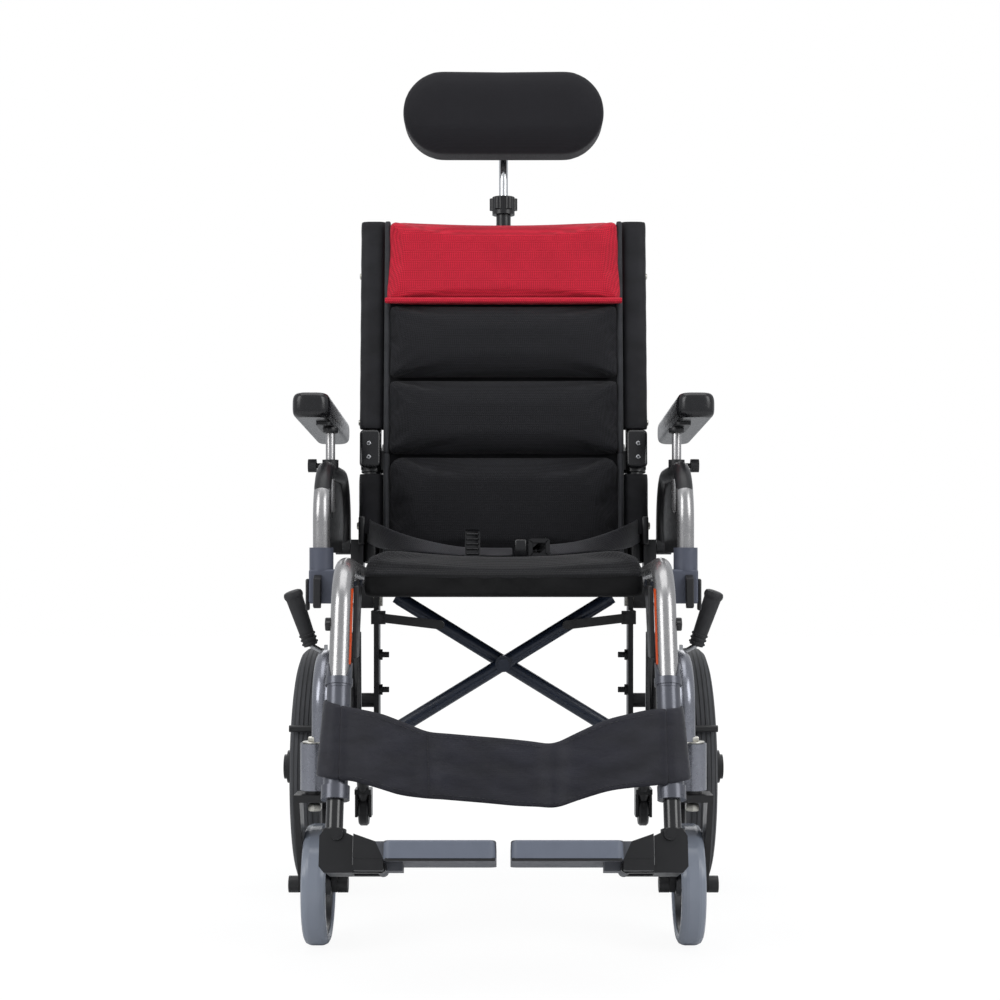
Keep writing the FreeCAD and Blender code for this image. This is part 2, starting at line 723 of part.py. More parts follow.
def make_footrest_bracket():
    """Inner leg tube with a clamp, a gusset plate and two ears that hold the footplate's hinge pin."""
    inner = rod(leg_point(leg_collar_z + 60), leg_point(leg_inner_end_z), leg_inner_d)
    clamp = rod(leg_point(leg_inner_end_z + 8), leg_point(leg_inner_end_z - 14), leg_inner_d + 8)
    low = -hinge_below - 6
    high = -hinge_below + 2.5
    top = plate_thick + 16
    start = gusset_x + 2
    gusset = prism_y([(start, low), (seat_x + 8, low), (seat_x + 14, low + 7), (seat_x + 14, top - 8),
                      (seat_x + 8, top), (seat_x - 6, top), (start, top - 8)], 32, 44 - 0.4)
    ears = [gusset]
    for y0, y1 in ((32, 44 - 0.4), (72 + 0.4, 84)):
        ear = box(plate_hinge_x, seat_x - 6, y0, y1, low, high)
        ears.append(fuse(ear, pin_y(plate_hinge_x, y0, y1, -hinge_below, knuckle_d)))
    web = box(start, seat_x + 6, 32, 84, low, high)
    pin = pin_y(plate_hinge_x, 28, 88, -hinge_below, hinge_pin_d)
    bolt = fuse(pin_y(seat_x - 6, 26, 60, top - 6.5, 8), pin_y(seat_x - 6, 26.5, 32.1, top - 6.5, 14))
    body = fuse(plate_frame(fuse(web, pin, bolt, *ears)), clamp, inner)
    return body.cut(plate_room())


def plate_room():
    """The space that the footplate's knuckle and edge turn through, kept free of the bracket."""
    room = pin_y(plate_hinge_x, 44 - 0.4, 72 + 0.4, -hinge_below, knuckle_d + 2 * side_gap)
    return plate_frame(room.cut(pin_y(plate_hinge_x, 0, 100, -hinge_below, hinge_pin_d)))


# Gas springs
def make_gas_body():
    low = vec(seat_x, gas_low[0], gas_low[1])
    high = vec(seat_x, gas_top[0], gas_top[1])
    way = (high - low).normalize()
    thick = gas_eye_thick / 2
    eye = pin_x(seat_x - thick, seat_x + thick, gas_low[0], gas_low[1], 18)
    neck = rod(low, low + way * 16, 7)
    body = rod(low + way * 14, low + way * 138, gas_body_d)
    solid = fuse(eye, neck, body)
    solid = solid.cut(rod(low + way * 30, low + way * 140, gas_rod_d + 2 * running_gap))
    return solid.cut(pin_x(seat_x - 20, seat_x + 20, gas_low[0], gas_low[1], gas_pin_d + 2 * running_gap))


def make_gas_rod():
    low = vec(seat_x, gas_low[0], gas_low[1])
    high = vec(seat_x, gas_top[0], gas_top[1])
    way = (high - low).normalize()
    thick = gas_eye_thick / 2
    eye = pin_x(seat_x - thick, seat_x + thick, gas_top[0], gas_top[1], gas_eye_d)
    bar = rod(low + way * 34, high, gas_rod_d)
    collar = rod(high - way * 24, high - way * 6, gas_rod_d + 1)
    return fuse(bar, eye, collar).cut(pin_x(seat_x - 20, seat_x + 20, gas_top[0], gas_top[1], gas_eye_hole))


# Back canes
def cane_point(z):
    return vec(seat_x, cane_y(z), z)


def fold_point():
    """The half-fold hinge axis, y and z."""
    return cane_y(fold_z) + fold_back, fold_z


def make_lower_cane():
    low = cane_point(cane_foot_z + 6)
    high = cane_point(fold_z - 0.4)
    body = tube(low, high, tube_d, tube_d - 2 * tube_wall)
    foot_plates = []
    for x0 in (foot_plate_in, foot_plate_out - plate_t):
        y_top = cane_y(cane_foot_z + 88)
        y_low = cane_foot_y
        plate = prism_x([(y_low - 20, seat_z(y_low) - 6), (y_low + 15, seat_z(y_low) - 6), (y_top + 12, cane_foot_z + 90),
                         (y_top - 12, cane_foot_z + 90)], x0, x0 + plate_t)
        foot_plates.append(plate)
    y, z = fold_point()
    cheeks = []
    for x0 in (seat_x - tube_d / 2 - 0.3 - cheek_t, seat_x + tube_d / 2 + 0.3):
        cheek = prism_x([(cane_y(z - 30) - 10, z - 30), (cane_y(z - 30) + 10, z - 30), (y + 9, z - 8), (y + 9, z + 9),
                         (y - 9, z + 9), (cane_y(z) - 10, z - 2)], x0, x0 + cheek_t)
        cheeks.append(cheek)
    pin = pin_x(seat_x - tube_d / 2 - 5, seat_x + tube_d / 2 + 5, y, z, 7)
    band = tube(cane_point(fold_z - 34), cane_point(fold_z - 3), tube_d + 2 * cheek_t + 0.6, tube_d - 1)
    body = fuse(body, band, pin, *foot_plates, *cheeks)
    seat_run = rod(vec(seat_x, seat_rear_y + 9, seat_z(seat_rear_y + 9)), vec(seat_x, 0, seat_z(0)), tube_d + 0.4)
    return body.cut(seat_run)


def make_upper_cane(side):
    low = cane_point(fold_z + 0.4)
    corner = cane_point(cane_top_z)
    end = corner + vec(0, handle_reach, -6)
    body = bent_tube([low, corner, end], handle_bend, tube_d, tube_wall)
    plug = rod(low, low + cane_way * 26, tube_d - 2 * tube_wall - 0.2)
    y, z = fold_point()
    inner = tube_d / 2 - 2
    lug = prism_x([(cane_y(z + 4), z + 2.5), (y + 5, z - 6), (y + 8, z + 4), (y + 4, z + 14), (cane_y(z + 30), z + 30)],
                  seat_x - inner, seat_x + inner)
    eye = pin_x(seat_x - inner, seat_x + inner, y, z, 16)
    below = box(seat_x - 20, seat_x + 20, y - 60, y - 8.5, z - 20, z + 0.4)
    body = fuse(body, plug, lug, eye).cut(below)
    body = body.cut(pin_x(seat_x - 20, seat_x + 20, y, z, 7 + 2 * running_gap))
    bar_y = headrest_bar_y()
    back = cane_y(bar_z) + tube_d / 2 - 1
    if side < 0:
        shelf = bar_d / 2 + 0.6
        for z0 in (bar_z - shelf - 4, bar_z + shelf):
            body = fuse(body, box(seat_x - 9, seat_x + 9, back - 4, bar_y + 9, z0, z0 + 4))
        body = fuse(body, pin_z(seat_x, bar_y, bar_z - shelf - 5, bar_z + shelf + 5, 8))
    else:
        for z0 in (bar_z - bar_d / 2 - 4, bar_z + bar_d / 2 + 1):
            body = fuse(body, box(seat_x - 8, seat_x + 8, back - 4, bar_y + 8, z0, z0 + 3))
    body = body.cut(pipe([low, corner, end], handle_bend, tube_d - 2 * tube_wall).cut(plug))
    grip_a = end - vec(0, grip_length - 6, -(grip_length - 6) * 6 / handle_reach)
    way = (end - grip_a).normalize()
    grip = rod(grip_a, end + way * 4, grip_d).cut(rod(grip_a - way, end + way * 0.3, tube_d + 0.1))
    return [body, grip]


def headrest_bar_y():
    return cane_y(bar_z) + tube_d / 2 + 13


# Arms
def make_arm_socket():
    low = box(seat_x + tube_d / 2 + running_gap, arm_x + 15, arm_front_y - 15, arm_front_y + 15, 424, 468)
    strap = box(seat_x - 9, seat_x + tube_d / 2 + 4, arm_front_y - 3, arm_front_y + 14,
                seat_z(arm_front_y) - tube_d / 2 - 6, seat_z(arm_front_y) - tube_d / 4)
    strap = strap.cut(rod(vec(seat_x, 0, seat_z(0)), vec(seat_x, 2 * arm_front_y, seat_z(2 * arm_front_y)),
                          tube_d + 2 * running_gap))
    rim = pin_z(arm_x, arm_front_y, 466, 496, arm_tube_d + 9)
    body = fuse(rounded(low, 3), strap, rim)
    body = body.cut(pin_z(arm_x, arm_front_y, 474, 500, arm_tube_d + 3))
    lever = rounded(prism_x([(arm_front_y - 26, 456), (arm_front_y - 15.3, 462), (arm_front_y - 15.3, 440),
                             (arm_front_y - 22, 418), (arm_front_y - 30, 420)], arm_x - 2, arm_x + 8), 1.5)
    return [body, lever]


def make_arm_frame():
    points = [
        vec(arm_x, arm_front_y, 476),
        vec(arm_x, arm_front_y, arm_top_z),
        vec(arm_x, arm_rear_y, arm_top_z),
        vec(arm_x, arm_rear_y, arm_pivot_z),
    ]
    body = bent_tube(points, arm_bend, arm_tube_d, 1.6)
    half = arm_tube_d / 2
    eye = pin_x(arm_x - half, arm_x + half, arm_rear_y, arm_pivot_z, 24)
    body = fuse(body, eye)
    column = pin_z(arm_x, post_y, arm_top_z - 4, arm_top_z + 16, 22)
    body = fuse(body, column)
    knob = fuse(pin_x(arm_x + 10, arm_x + 20, post_y, arm_top_z + 8, 7), pin_x(arm_x + 19, arm_x + 30, post_y,
                arm_top_z + 8, 18))
    body = body.cut(pin_x(arm_x - 20, arm_x + 20, arm_rear_y, arm_pivot_z, bolt_d + 2 * running_gap))
    body = body.cut(pin_z(arm_x, post_y, post_low_z(), arm_top_z + 30, post_d + 2 * running_gap))
    return [body, knob.cut(column)]


def post_low_z():
    return arm_top_z - 60


def make_arm_pivot():
    """The bracket on the seat tube's rear end that the arm turns on."""
    x0 = foot_plate_out + 0.05
    x1 = arm_x - arm_tube_d / 2 - side_gap
    plate = prism_x([(arm_rear_y - 26, seat_z(arm_rear_y) - 12), (arm_rear_y + 8, seat_z(arm_rear_y) - 12),
                     (arm_rear_y + 12, arm_pivot_z), (arm_rear_y - 12, arm_pivot_z + 10)], x0, x1)
    pin = pin_x(x0, arm_x + arm_tube_d / 2 + 5, arm_rear_y, arm_pivot_z, bolt_d)
    head = pin_x(arm_x + arm_tube_d / 2 + side_gap, arm_x + arm_tube_d / 2 + 6, arm_rear_y, arm_pivot_z, 15)
    return fuse(plate, pin, head)


def make_side_panel():
    half = arm_tube_d / 2 + 0.3
    low = 490.0
    y0 = arm_front_y + half
    y1 = arm_rear_y - half
    top = arm_top_z - half
    r = arm_bend - half
    step = r * (1 - math.sqrt(0.5))
    outline = [(y0, low + 12), (y0 + 12, low), (y1 - 40, low), (y1 - 20, low + 26), (y1, low + 34), (y1, top - r),
               (y1 - step, top - step), (y1 - r, top), (y0 + r, top), (y0 + step, top - step), (y0, top - r)]
    plate = prism_x(outline, arm_x - side_panel_t / 2, arm_x + side_panel_t / 2)
    slot = post_d / 2 + side_gap
    return plate.cut(box(arm_x - 5, arm_x + 5, post_y - slot, post_y + slot, post_low_z() - 3, top + 1))


def make_arm_pad():
    x0, x1 = arm_pad_x
    y0, y1 = arm_pad_y
    z0, z1 = arm_pad_z
    slab = box(x0, x1, y0, y1, z0, z1)
    upright = [e for e in slab.Edges if abs(e.BoundBox.ZLength - (z1 - z0)) < 0.01]
    slab = rounded(slab, 16, upright)
    top = [e for e in slab.Edges if e.BoundBox.ZMin > z1 - 0.01]
    slab = rounded(slab, 9, top)
    slab.rotate(vec(0, y0, z0), X, -arm_pad_fall)
    return slab


def make_arm_post():
    y0 = arm_pad_y[0]
    z_pad = arm_pad_z[0] - (post_y - y0) * math.tan(math.radians(arm_pad_fall))
    post = pin_z(arm_x, post_y, post_low_z(), z_pad - 5, post_d)
    foot = box(arm_pad_x[0] + 4, arm_pad_x[1] - 8, post_y - 40, post_y + 60, 0, 5)
    foot.rotate(vec(0, post_y, 0), X, -arm_pad_fall)
    foot.translate(vec(0, 0, z_pad - 5.3))
    return fuse(post, foot)


# Headrest
def make_headrest_bar():
    y = headrest_bar_y()
    left = vec(-seat_x + 8, y, bar_z)
    right = vec(seat_x + 6, y, bar_z)
    bar = rod(left, right, bar_d)
    eye = pin_z(-seat_x, y, bar_z - bar_d / 2, bar_z + bar_d / 2, 18)
    back_y = y + bar_d / 2 + socket_d / 2
    block = rounded(box(-20, 20, y - 12, back_y + 15, bar_z - 22, bar_z + 22), 3)
    post = pin_z(0, back_y, bar_z - 40, socket_top, socket_d)
    body = fuse(bar, eye, block, post)
    body = body.cut(pin_z(0, back_y, bar_z - 60, socket_top + 10, stem_bar_d + 2 * running_gap))
    return body.cut(pin_z(-seat_x, y, bar_z - 30, bar_z + 30, 8 + 2 * running_gap))


def headrest_stem_y():
    return headrest_bar_y() + bar_d / 2 + socket_d / 2


def make_headrest_knob():
    y = headrest_stem_y()
    low = socket_top + 0.5
    ring = pin_z(0, y, low, knob_top, knob_d - 8)
    lobes = []
    for k in range(6):
        turn = math.radians(60 * k)
        reach = knob_d / 2 - 6
        lobes.append(pin_z(reach * math.cos(turn), y + reach * math.sin(turn), low + 7, knob_top - 2, 12))
    return fuse(ring, *lobes).cut(pin_z(0, y, low - 1, knob_top + 1, stem_bar_d + 2 * running_gap))


def make_headrest_stem():
    y = headrest_stem_y()
    post = pin_z(0, y, bar_z - 30, head_z - 6, stem_bar_d)
    back = head_y + head_thick / 2
    arm = rod(vec(0, y, head_z - 16), vec(0, back + 0.5, head_z - 16), 16)
    cup = rod(vec(0, back + 6, head_z - 16), vec(0, back + 0.5, head_z - 16), 60)
    return fuse(post, arm, cup)


def stadium(width, height, y, z):
    """An upright outline of two lines and two arcs, each end a half circle in two arcs."""
    r = height / 2
    run = width / 2 - r
    slant = r * math.sqrt(0.5)
    edges = [Part.LineSegment(vec(-run, y, z + r), vec(run, y, z + r)).toShape()]
    right = [(run, z + r), (run + slant, z + slant), (run + r, z), (run + slant, z - slant), (run, z - r)]
    left = [(-run, z - r), (-run - slant, z - slant), (-run - r, z), (-run - slant, z + slant), (-run, z + r)]
    for side in (right, left):
        for a, b, c in ((0, 1, 2), (2, 3, 4)):
            p, q, s = (vec(side[k][0], y, side[k][1]) for k in (a, b, c))
            edges.append(Part.Arc(p, q, s).toShape())
        if side is right:
            edges.append(Part.LineSegment(vec(run, y, z - r), vec(-run, y, z - r)).toShape())
    return Part.Wire(edges)


def make_headrest_pad():
    """A crowned pad: its outline shrinks towards the front face and a little towards the back."""
    steps = ((-0.5, 40), (-0.42, 20), (-0.25, 6), (0.05, 0), (0.32, 4), (0.5, 16))
    wires = [stadium(head_width - drop, head_height - drop, head_y + share * head_thick, head_z)
             for share, drop in steps]
    return Part.makeLoft(wires, True, False)


# Seat cushion and back pads
def cushion_section(half, y, low, high, crown):
    """A cushion's cross-section: flat below, sides that bulge a little and a crowned top."""
    side = 5.0
    mid = (low + high) / 2
    a, b = vec(-half + side, y, low), vec(half - side, y, low)
    c, d = vec(half - side, y, high), vec(-half + side, y, high)
    edges = [
        Part.LineSegment(a, b).toShape(),
        Part.Arc(b, vec(half, y, mid), c).toShape(),
        Part.Arc(c, vec(0, y, high + crown), d).toShape(),
        Part.Arc(d, vec(-half, y, mid), a).toShape(),
    ]
    return Part.Wire(edges)


def make_seat_cushion():
    """Front roll, a drawn-in seam behind it, then the main pad."""
    length = cushion_rear - cushion_front
    fall = seat_slope
    rows = ((0.0, 12, -6, -8), (0.02, 4, -16, -4), (0.07, 0, -17, -1), (0.13, 0, -6, 0), (0.15, 3, 0, -6),
            (0.18, 0, 0, 0), (0.5, 0, 0, 4), (0.85, 0, 0, 3), (0.97, 3, 0, -3), (1.0, 10, 5, -12))
    wires = []
    for share, inset, low, rise in rows:
        y = cushion_front + share * length
        drop = (y - cushion_front) * fall * 0.4
        wires.append(cushion_section(cushion_half - inset, y, cushion_low + low, cushion_high + rise - drop, 4.0))
    return Part.makeLoft(wires, True, True)


def pad_section(half, z, thick):
    """A level section through a back pad: flat behind, drawn-in ends and a crowned front."""
    back = cane_y(z) - 2
    front = back - thick
    end = 8.0
    edges = [
        Part.LineSegment(vec(half, back, z), vec(-half, back, z)).toShape(),
        Part.Arc(vec(-half, back, z), vec(-half - back_bulge, back - thick * 0.3, z),
                 vec(-half + end, front + 6, z)).toShape(),
        Part.Arc(vec(-half + end, front + 6, z), vec(0, front, z), vec(half - end, front + 6, z)).toShape(),
        Part.Arc(vec(half - end, front + 6, z), vec(half + back_bulge, back - thick * 0.3, z),
                 vec(half, back, z)).toShape(),
    ]
    return Part.Wire(edges)


def make_back_pad(zones, half):
    """Padded panels one above another with a sewn channel between each two."""
    wires = []
    for low, high in zones:
        tall = high - low
        for share, thin in ((0.0, 14), (0.06, 5), (0.25, 0), (0.75, 0), (0.94, 5), (1.0, 14)):
            wires.append(pad_section(half, low + share * tall, back_thick - thin))
    return Part.makeLoft(wires, True, True)


def make_calf_strap():
    """A broad band held by the two leg tubes, which hangs in a shallow curve between them."""
    y_leg = leg_y(strap_z) - (leg_d / 2 + soft_gap) / math.cos(math.radians(leg_angle)) - strap_t / 2
    tilt = leg_slope * strap_width / 2
    wires = []
    half_run = seat_x + leg_d / 2 + 2
    flat_share = (seat_x - leg_d / 2 - soft_gap) / half_run     # outboard of this it lies flat on the tubes
    stations = [0.0, 0.25, 0.48, 0.64, 0.75, 0.81, flat_share, 1.0]
    for share in [-k for k in stations[:0:-1]] + stations:
        x = share * half_run
        sag = strap_sag * (1 - share ** 2) ** 1.5
        z = strap_z - sag
        y = y_leg + strap_inset * (1 - min(1.0, abs(share / flat_share)) ** 6) - sag * leg_slope
        half = strap_t / 2
        corners = [vec(x, y - half - tilt, z - strap_width / 2), vec(x, y + half - tilt, z - strap_width / 2),
                   vec(x, y + half + tilt, z + strap_width / 2), vec(x, y - half + tilt, z + strap_width / 2)]
        wires.append(Part.makePolygon(corners + corners[:1]))
    return Part.makeLoft(wires, True, True)


def belt_run(side, inner_end):
    """One half of the lap belt, from the front of the back cane over the cushion to the buckle."""
    top = cushion_high + 6
    foot = top + 66
    width = 40
    behind = width * lean
    at_cane = cane_y(foot) - tube_d / 2 / cane_way.z - soft_gap - 1
    stations = ((seat_x - 2, at_cane, foot, width, behind), (178, 120, top + 44, 40, 3), (150, 70, top + 20, 38, 3),
                (115, 20, top + 9, 30, 10), (85, -20, top + 5, 24, 10), (inner_end, -42, top + 3, 22, 6))
    wires = []
    for x, y, z, tall, back in stations:
        corners = [vec(side * x, y - 1, z), vec(side * x, y + 1, z), vec(side * x, y + 1 + back, z + tall),
                   vec(side * x, y - 1 + back, z + tall)]
        wires.append(Part.makePolygon(corners + corners[:1]))
    return Part.makeLoft(wires, True, True)


buckle_x = (-51.0, -31.0, 14.0, 31.0, 62.0)      # ends of the buckle's pieces
buckle_tall = (27.0, 8.0, 16.0, 15.0)


def make_buckle():
    z = cushion_high + 8
    parts = []
    for x0, x1, tall in zip(buckle_x, buckle_x[1:], buckle_tall):
        parts.append(rounded(box(x0 + soft_gap, x1, -50, -36, z, z + tall), 2))
    return parts


def mirrored(shape):
    return shape.mirror(ORIGIN, X)


def base_hardware():
    near, far = brace_lugs()
    inner = upright_x()
    lug_out = seat_x + tube_d / 2 - 4
    tilt_pin = fuse(pin_x(inner - 3, lug_out + 3, tilt_y, tilt_z, tilt_pin_d),
                    pin_x(inner - 4, inner - 0.4, tilt_y, tilt_z, 17),
                    pin_x(lug_out + 0.4, lug_out + 5, tilt_y, tilt_z, 17))
    pivot = fuse(pin_y(brace_pivot_x, near[0] - 5, far[1] + 5, rail_z, bolt_d),
                 pin_y(brace_pivot_x, near[0] - 5, near[0] - 0.3, rail_z, 14),
                 pin_y(brace_pivot_x, far[1] + 0.3, far[1] + 6, rail_z, 14))
    y0, y1 = link_plane()
    link_pin = fuse(pin_y(link_out[0], y0 - 3, y1 + side_gap + plate_t + 2, link_out[1], 5),
                    pin_y(link_out[0], y0 - 4, y0 - 0.4, link_out[1], 11))
    bolts = []
    for z in upright_bolt_z:
        bolts.append(fuse(pin_x(inner - 4, inner - 0.2, tilt_y, z, 15), pin_x(inner - 13, inner - 2, tilt_y, z, 8)))
    return [tilt_pin, pivot, link_pin] + bolts


made = {}


def pair(name, build):
    """Make one sub-part for each side; build gives a solid or a list of solids."""
    shapes = build()
    shapes = shapes if isinstance(shapes, list) else [shapes]
    made[name + "_right"] = shapes
    made[name + "_left"] = [mirrored(s) for s in shapes]


def single(name, shapes):
    made[name] = shapes if isinstance(shapes, list) else [shapes]


def build_all():
    pair("base_frame", make_base_frame)
    pair("base_bracket", lambda: [make_base_bracket(), make_spring_lug(), make_brake_plate()])
    pair("base_hardware", lambda: base_hardware() + make_bearings())
    pair("rear_axle", make_rear_axle)
    pair("castor_fork", lambda: [make_fork(), make_castor_axle()])
    pair("castor_wheel", lambda: [make_castor_wheel(), make_castor_tyre()])
    pair("rear_wheel", make_rear_wheel)
    pair("rear_tyre", make_rear_tyre)
    pair("brake_lever", make_brake_lever)
    pair("brake_shoe", make_brake_shoe)
    pair("anti_tipper", make_tipper)
    pair("anti_tipper_wheel", make_tipper_wheel)
    pair("seat_frame", lambda: [make_seat_frame(), make_seat_trim()])
    pair("leg_tube", make_leg_tube)
    pair("footrest_bracket", make_footrest_bracket)
    pair("footplate", make_footplate)
    pair("gas_spring_body", make_gas_body)
    pair("gas_spring_rod", make_gas_rod)
    pair("lower_cane", make_lower_cane)
    pair("arm_socket", lambda: make_arm_socket() + [make_arm_pivot()])
    pair("arm_frame", lambda: make_arm_frame() + [make_side_panel()])
    pair("arm_pad", lambda: [make_arm_pad(), make_arm_post()])
    pair("brace_link", make_link)
    single("upper_cane_right", make_upper_cane(1))
    single("upper_cane_left", [mirrored(s) for s in make_upper_cane(-1)])
    near, far = brace_planes()
    single("brace_front", [make_brace(near, 1), make_brace_bolt()])
    single("brace_rear", make_brace(far, -1))
    single("headrest_bar", make_headrest_bar())
    single("headrest_knob", make_headrest_knob())
    single("headrest_stem", make_headrest_stem())
    single("headrest_pad", make_headrest_pad())
    single("seat_cushion", make_seat_cushion())
    seam = 2.0
    upper_zones = [(back_seam_z + seam, back_channel_z - seam), (back_channel_z + seam, back_red_z)]
    single("back_pad_lower", make_back_pad([(back_low_z, back_seam_z - seam)], back_half))
    single("back_pad_upper", make_back_pad(upper_zones, back_half))
    single("back_top_panel", make_back_pad([(back_red_z + soft_gap, back_top_z)], back_half))
    single("calf_strap", make_calf_strap())
    belt = [belt_run(1, buckle_x[-1] + soft_gap), belt_run(-1, -buckle_x[0])]
    single("lap_belt", belt + make_buckle())


def write_all():
    os.makedirs("parts", exist_ok=True)
    for name, shapes in made.items():
        whole = shapes[0] if len(shapes) == 1 else Part.makeCompound(shapes)
        whole = whole.copy()
        whole.translate(vec(0, -middle_y, 0))
        whole.exportStep(os.path.join("parts", name + ".step"))
    print(len(made), "nodes,", sum(len(s.Solids) for group in made.values() for s in group), "solids")


build_all()
write_all()
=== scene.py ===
# %% [markdown]
# # A folding tilt in space wheelchair
# This notebook dresses a finished CAD model of a wheelchair. The CAD model gives every tube,
# wheel and bracket its size and place. Here each of them gets a finish, and the soft parts, which
# a CAD solid can only stand in for, are modelled as cloth and foam.

# %% Load the CAD frame
import math
import bpy
import numpy as np
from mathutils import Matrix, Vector


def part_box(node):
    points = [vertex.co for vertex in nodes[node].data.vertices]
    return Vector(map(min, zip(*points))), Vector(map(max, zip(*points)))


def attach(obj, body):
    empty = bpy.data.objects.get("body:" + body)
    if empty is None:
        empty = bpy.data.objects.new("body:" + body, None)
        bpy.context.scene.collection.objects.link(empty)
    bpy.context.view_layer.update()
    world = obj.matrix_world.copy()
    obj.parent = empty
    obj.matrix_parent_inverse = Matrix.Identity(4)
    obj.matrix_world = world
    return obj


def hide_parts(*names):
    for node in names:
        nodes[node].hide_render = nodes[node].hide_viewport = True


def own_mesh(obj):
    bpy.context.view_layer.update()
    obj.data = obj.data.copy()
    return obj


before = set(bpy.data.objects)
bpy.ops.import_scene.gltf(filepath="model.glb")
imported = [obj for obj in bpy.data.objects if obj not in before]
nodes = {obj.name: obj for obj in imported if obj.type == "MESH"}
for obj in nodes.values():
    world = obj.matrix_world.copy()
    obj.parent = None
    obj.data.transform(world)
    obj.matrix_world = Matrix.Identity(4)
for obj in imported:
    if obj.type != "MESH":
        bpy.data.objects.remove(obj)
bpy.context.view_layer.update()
scene = bpy.context.scene

# %% [markdown]
# ## The camera
# The chair is seen straight from the front, from a little under half its height. The camera is
# level and its frame is shifted up, so uprights stay upright. The lens is found from how fast
# things shrink with depth.

# %% Camera
LENS = 63.36                    # mm on a 36 mm sensor
SHIFT = (-0.0035, 0.060)        # share of the picture
CAMERA_PLACE = (0, -2.380, 0.480)
camera_data = bpy.data.cameras.new("front_camera")
camera_data.lens = LENS
camera_data.sensor_width = 36.0
camera_data.shift_x, camera_data.shift_y = SHIFT
camera = bpy.data.objects.new("front_camera", camera_data)
camera.location = CAMERA_PLACE
camera.rotation_euler = (math.radians(90), 0, 0)
scene.collection.objects.link(camera)
scene.camera = camera
scene.view_settings.view_transform = "Standard"
print("camera at", tuple(round(v, 3) for v in camera.location))

# %% [markdown]
# ## Colours and shader nodes
# Colours are written as sRGB codes, as a paint program shows them. One function turns them into
# the linear values that Blender works in, and the others add shader nodes and join them.

# %% Colours and node helpers
def linear(code):
    """An sRGB colour code such as 'A1B2C3' as the linear colour that Blender works in."""
    channels = [int(code[k:k + 2], 16) / 255 for k in (0, 2, 4)]
    return [c / 12.92 if c <= 0.04045 else ((c + 0.055) / 1.055) ** 2.4 for c in channels] + [1.0]


def shifted(code, step):
    """A colour code with its three channels made lighter by step, or darker if it is negative."""
    channels = [int(code[k:k + 2], 16) + step for k in (0, 2, 4)]
    return "".join(f"{min(255, max(0, c)):02X}" for c in channels)


def add(tree, kind, links=None, **settings):
    """Add one node; settings are its own properties or input values, links join its inputs."""
    made = tree.nodes.new(kind)
    for name, value in settings.items():
        if hasattr(made, name):
            setattr(made, name, value)
        else:
            made.inputs[name.replace("_", " ")].default_value = value
    for name, source in (links or {}).items():
        tree.links.new(source, made.inputs[name])
    return made


def new_material(name):
    """A material with an empty node tree that ends in one shader."""
    material = bpy.data.materials.new(name)
    material.use_nodes = True
    tree = material.node_tree
    shader = tree.nodes["Principled BSDF"]
    return material, tree, shader


def math_of(tree, kind, a, b=0.0):
    """One sum or product; a and b are outputs of other nodes, or plain numbers."""
    links = {k: v for k, v in ((0, a), (1, b)) if not isinstance(v, (int, float))}
    made = add(tree, "ShaderNodeMath", links, operation=kind)
    for k, v in ((0, a), (1, b)):
        if isinstance(v, (int, float)):
            made.inputs[k].default_value = v
    return made.outputs[0]


def spread(tree, value, low, high, out_low, out_high):
    """Map a value from one range to another, clamped."""
    made = add(tree, "ShaderNodeMapRange", {"Value": value})
    for name, v in (("From Min", low), ("From Max", high), ("To Min", out_low), ("To Max", out_high)):
        made.inputs[name].default_value = v
    return made.outputs[0]


print("linear mid grey", round(linear("808080")[0], 3))

# %% [markdown]
# ## Floor
# The floor is a wide pale sheet. Near the chair the camera sees its soft shadow, and further out
# it fades to pure white, as in a product studio. Other rays meet the plain paint.

# %% Floor and backdrop
WHITE_NEAR_CHAIR = 0.88         # share of pure white in what the camera sees there


def white_where_seen(name, code, near, far):
    """Pale paint that keeps its soft shadow near the chair and fades to pure white further out."""
    material, tree, shader = new_material(name)
    shader.inputs["Base Color"].default_value = linear(code)
    shader.inputs["Roughness"].default_value = 0.9
    path = add(tree, "ShaderNodeLightPath")
    here = add(tree, "ShaderNodeTexCoord")
    away = add(tree, "ShaderNodeVectorMath", {0: here.outputs["Object"]}, operation="LENGTH")
    fade = spread(tree, away.outputs["Value"], near, far, WHITE_NEAR_CHAIR, 1.0)
    share = math_of(tree, "MULTIPLY", path.outputs["Is Camera Ray"], fade)
    glow = add(tree, "ShaderNodeEmission", Color=(1, 1, 1, 1), Strength=1.05)
    both = add(tree, "ShaderNodeMixShader", {0: share, 1: shader.outputs[0], 2: glow.outputs[0]})
    tree.links.new(both.outputs[0], tree.nodes["Material Output"].inputs["Surface"])
    return material


bpy.ops.object.select_all(action="DESELECT")
bpy.ops.mesh.primitive_plane_add(size=14, location=(0, 1.5, 0))
floor = bpy.context.object
floor.name = "studio_floor"
bpy.ops.object.transform_apply(location=True, rotation=False, scale=False)
floor.data.materials.append(white_where_seen("pale_floor_paint", "F4F4F4", 0.45, 1.6))
print("floor laid")

# %% [markdown]
# ## Light
# Two soft boxes stand in front to the left and right, one hangs overhead and one stands behind.
# The room adds a faint fill. The white behind the chair is only what the camera sees and not
# more light, so the dark cloth keeps its depth.

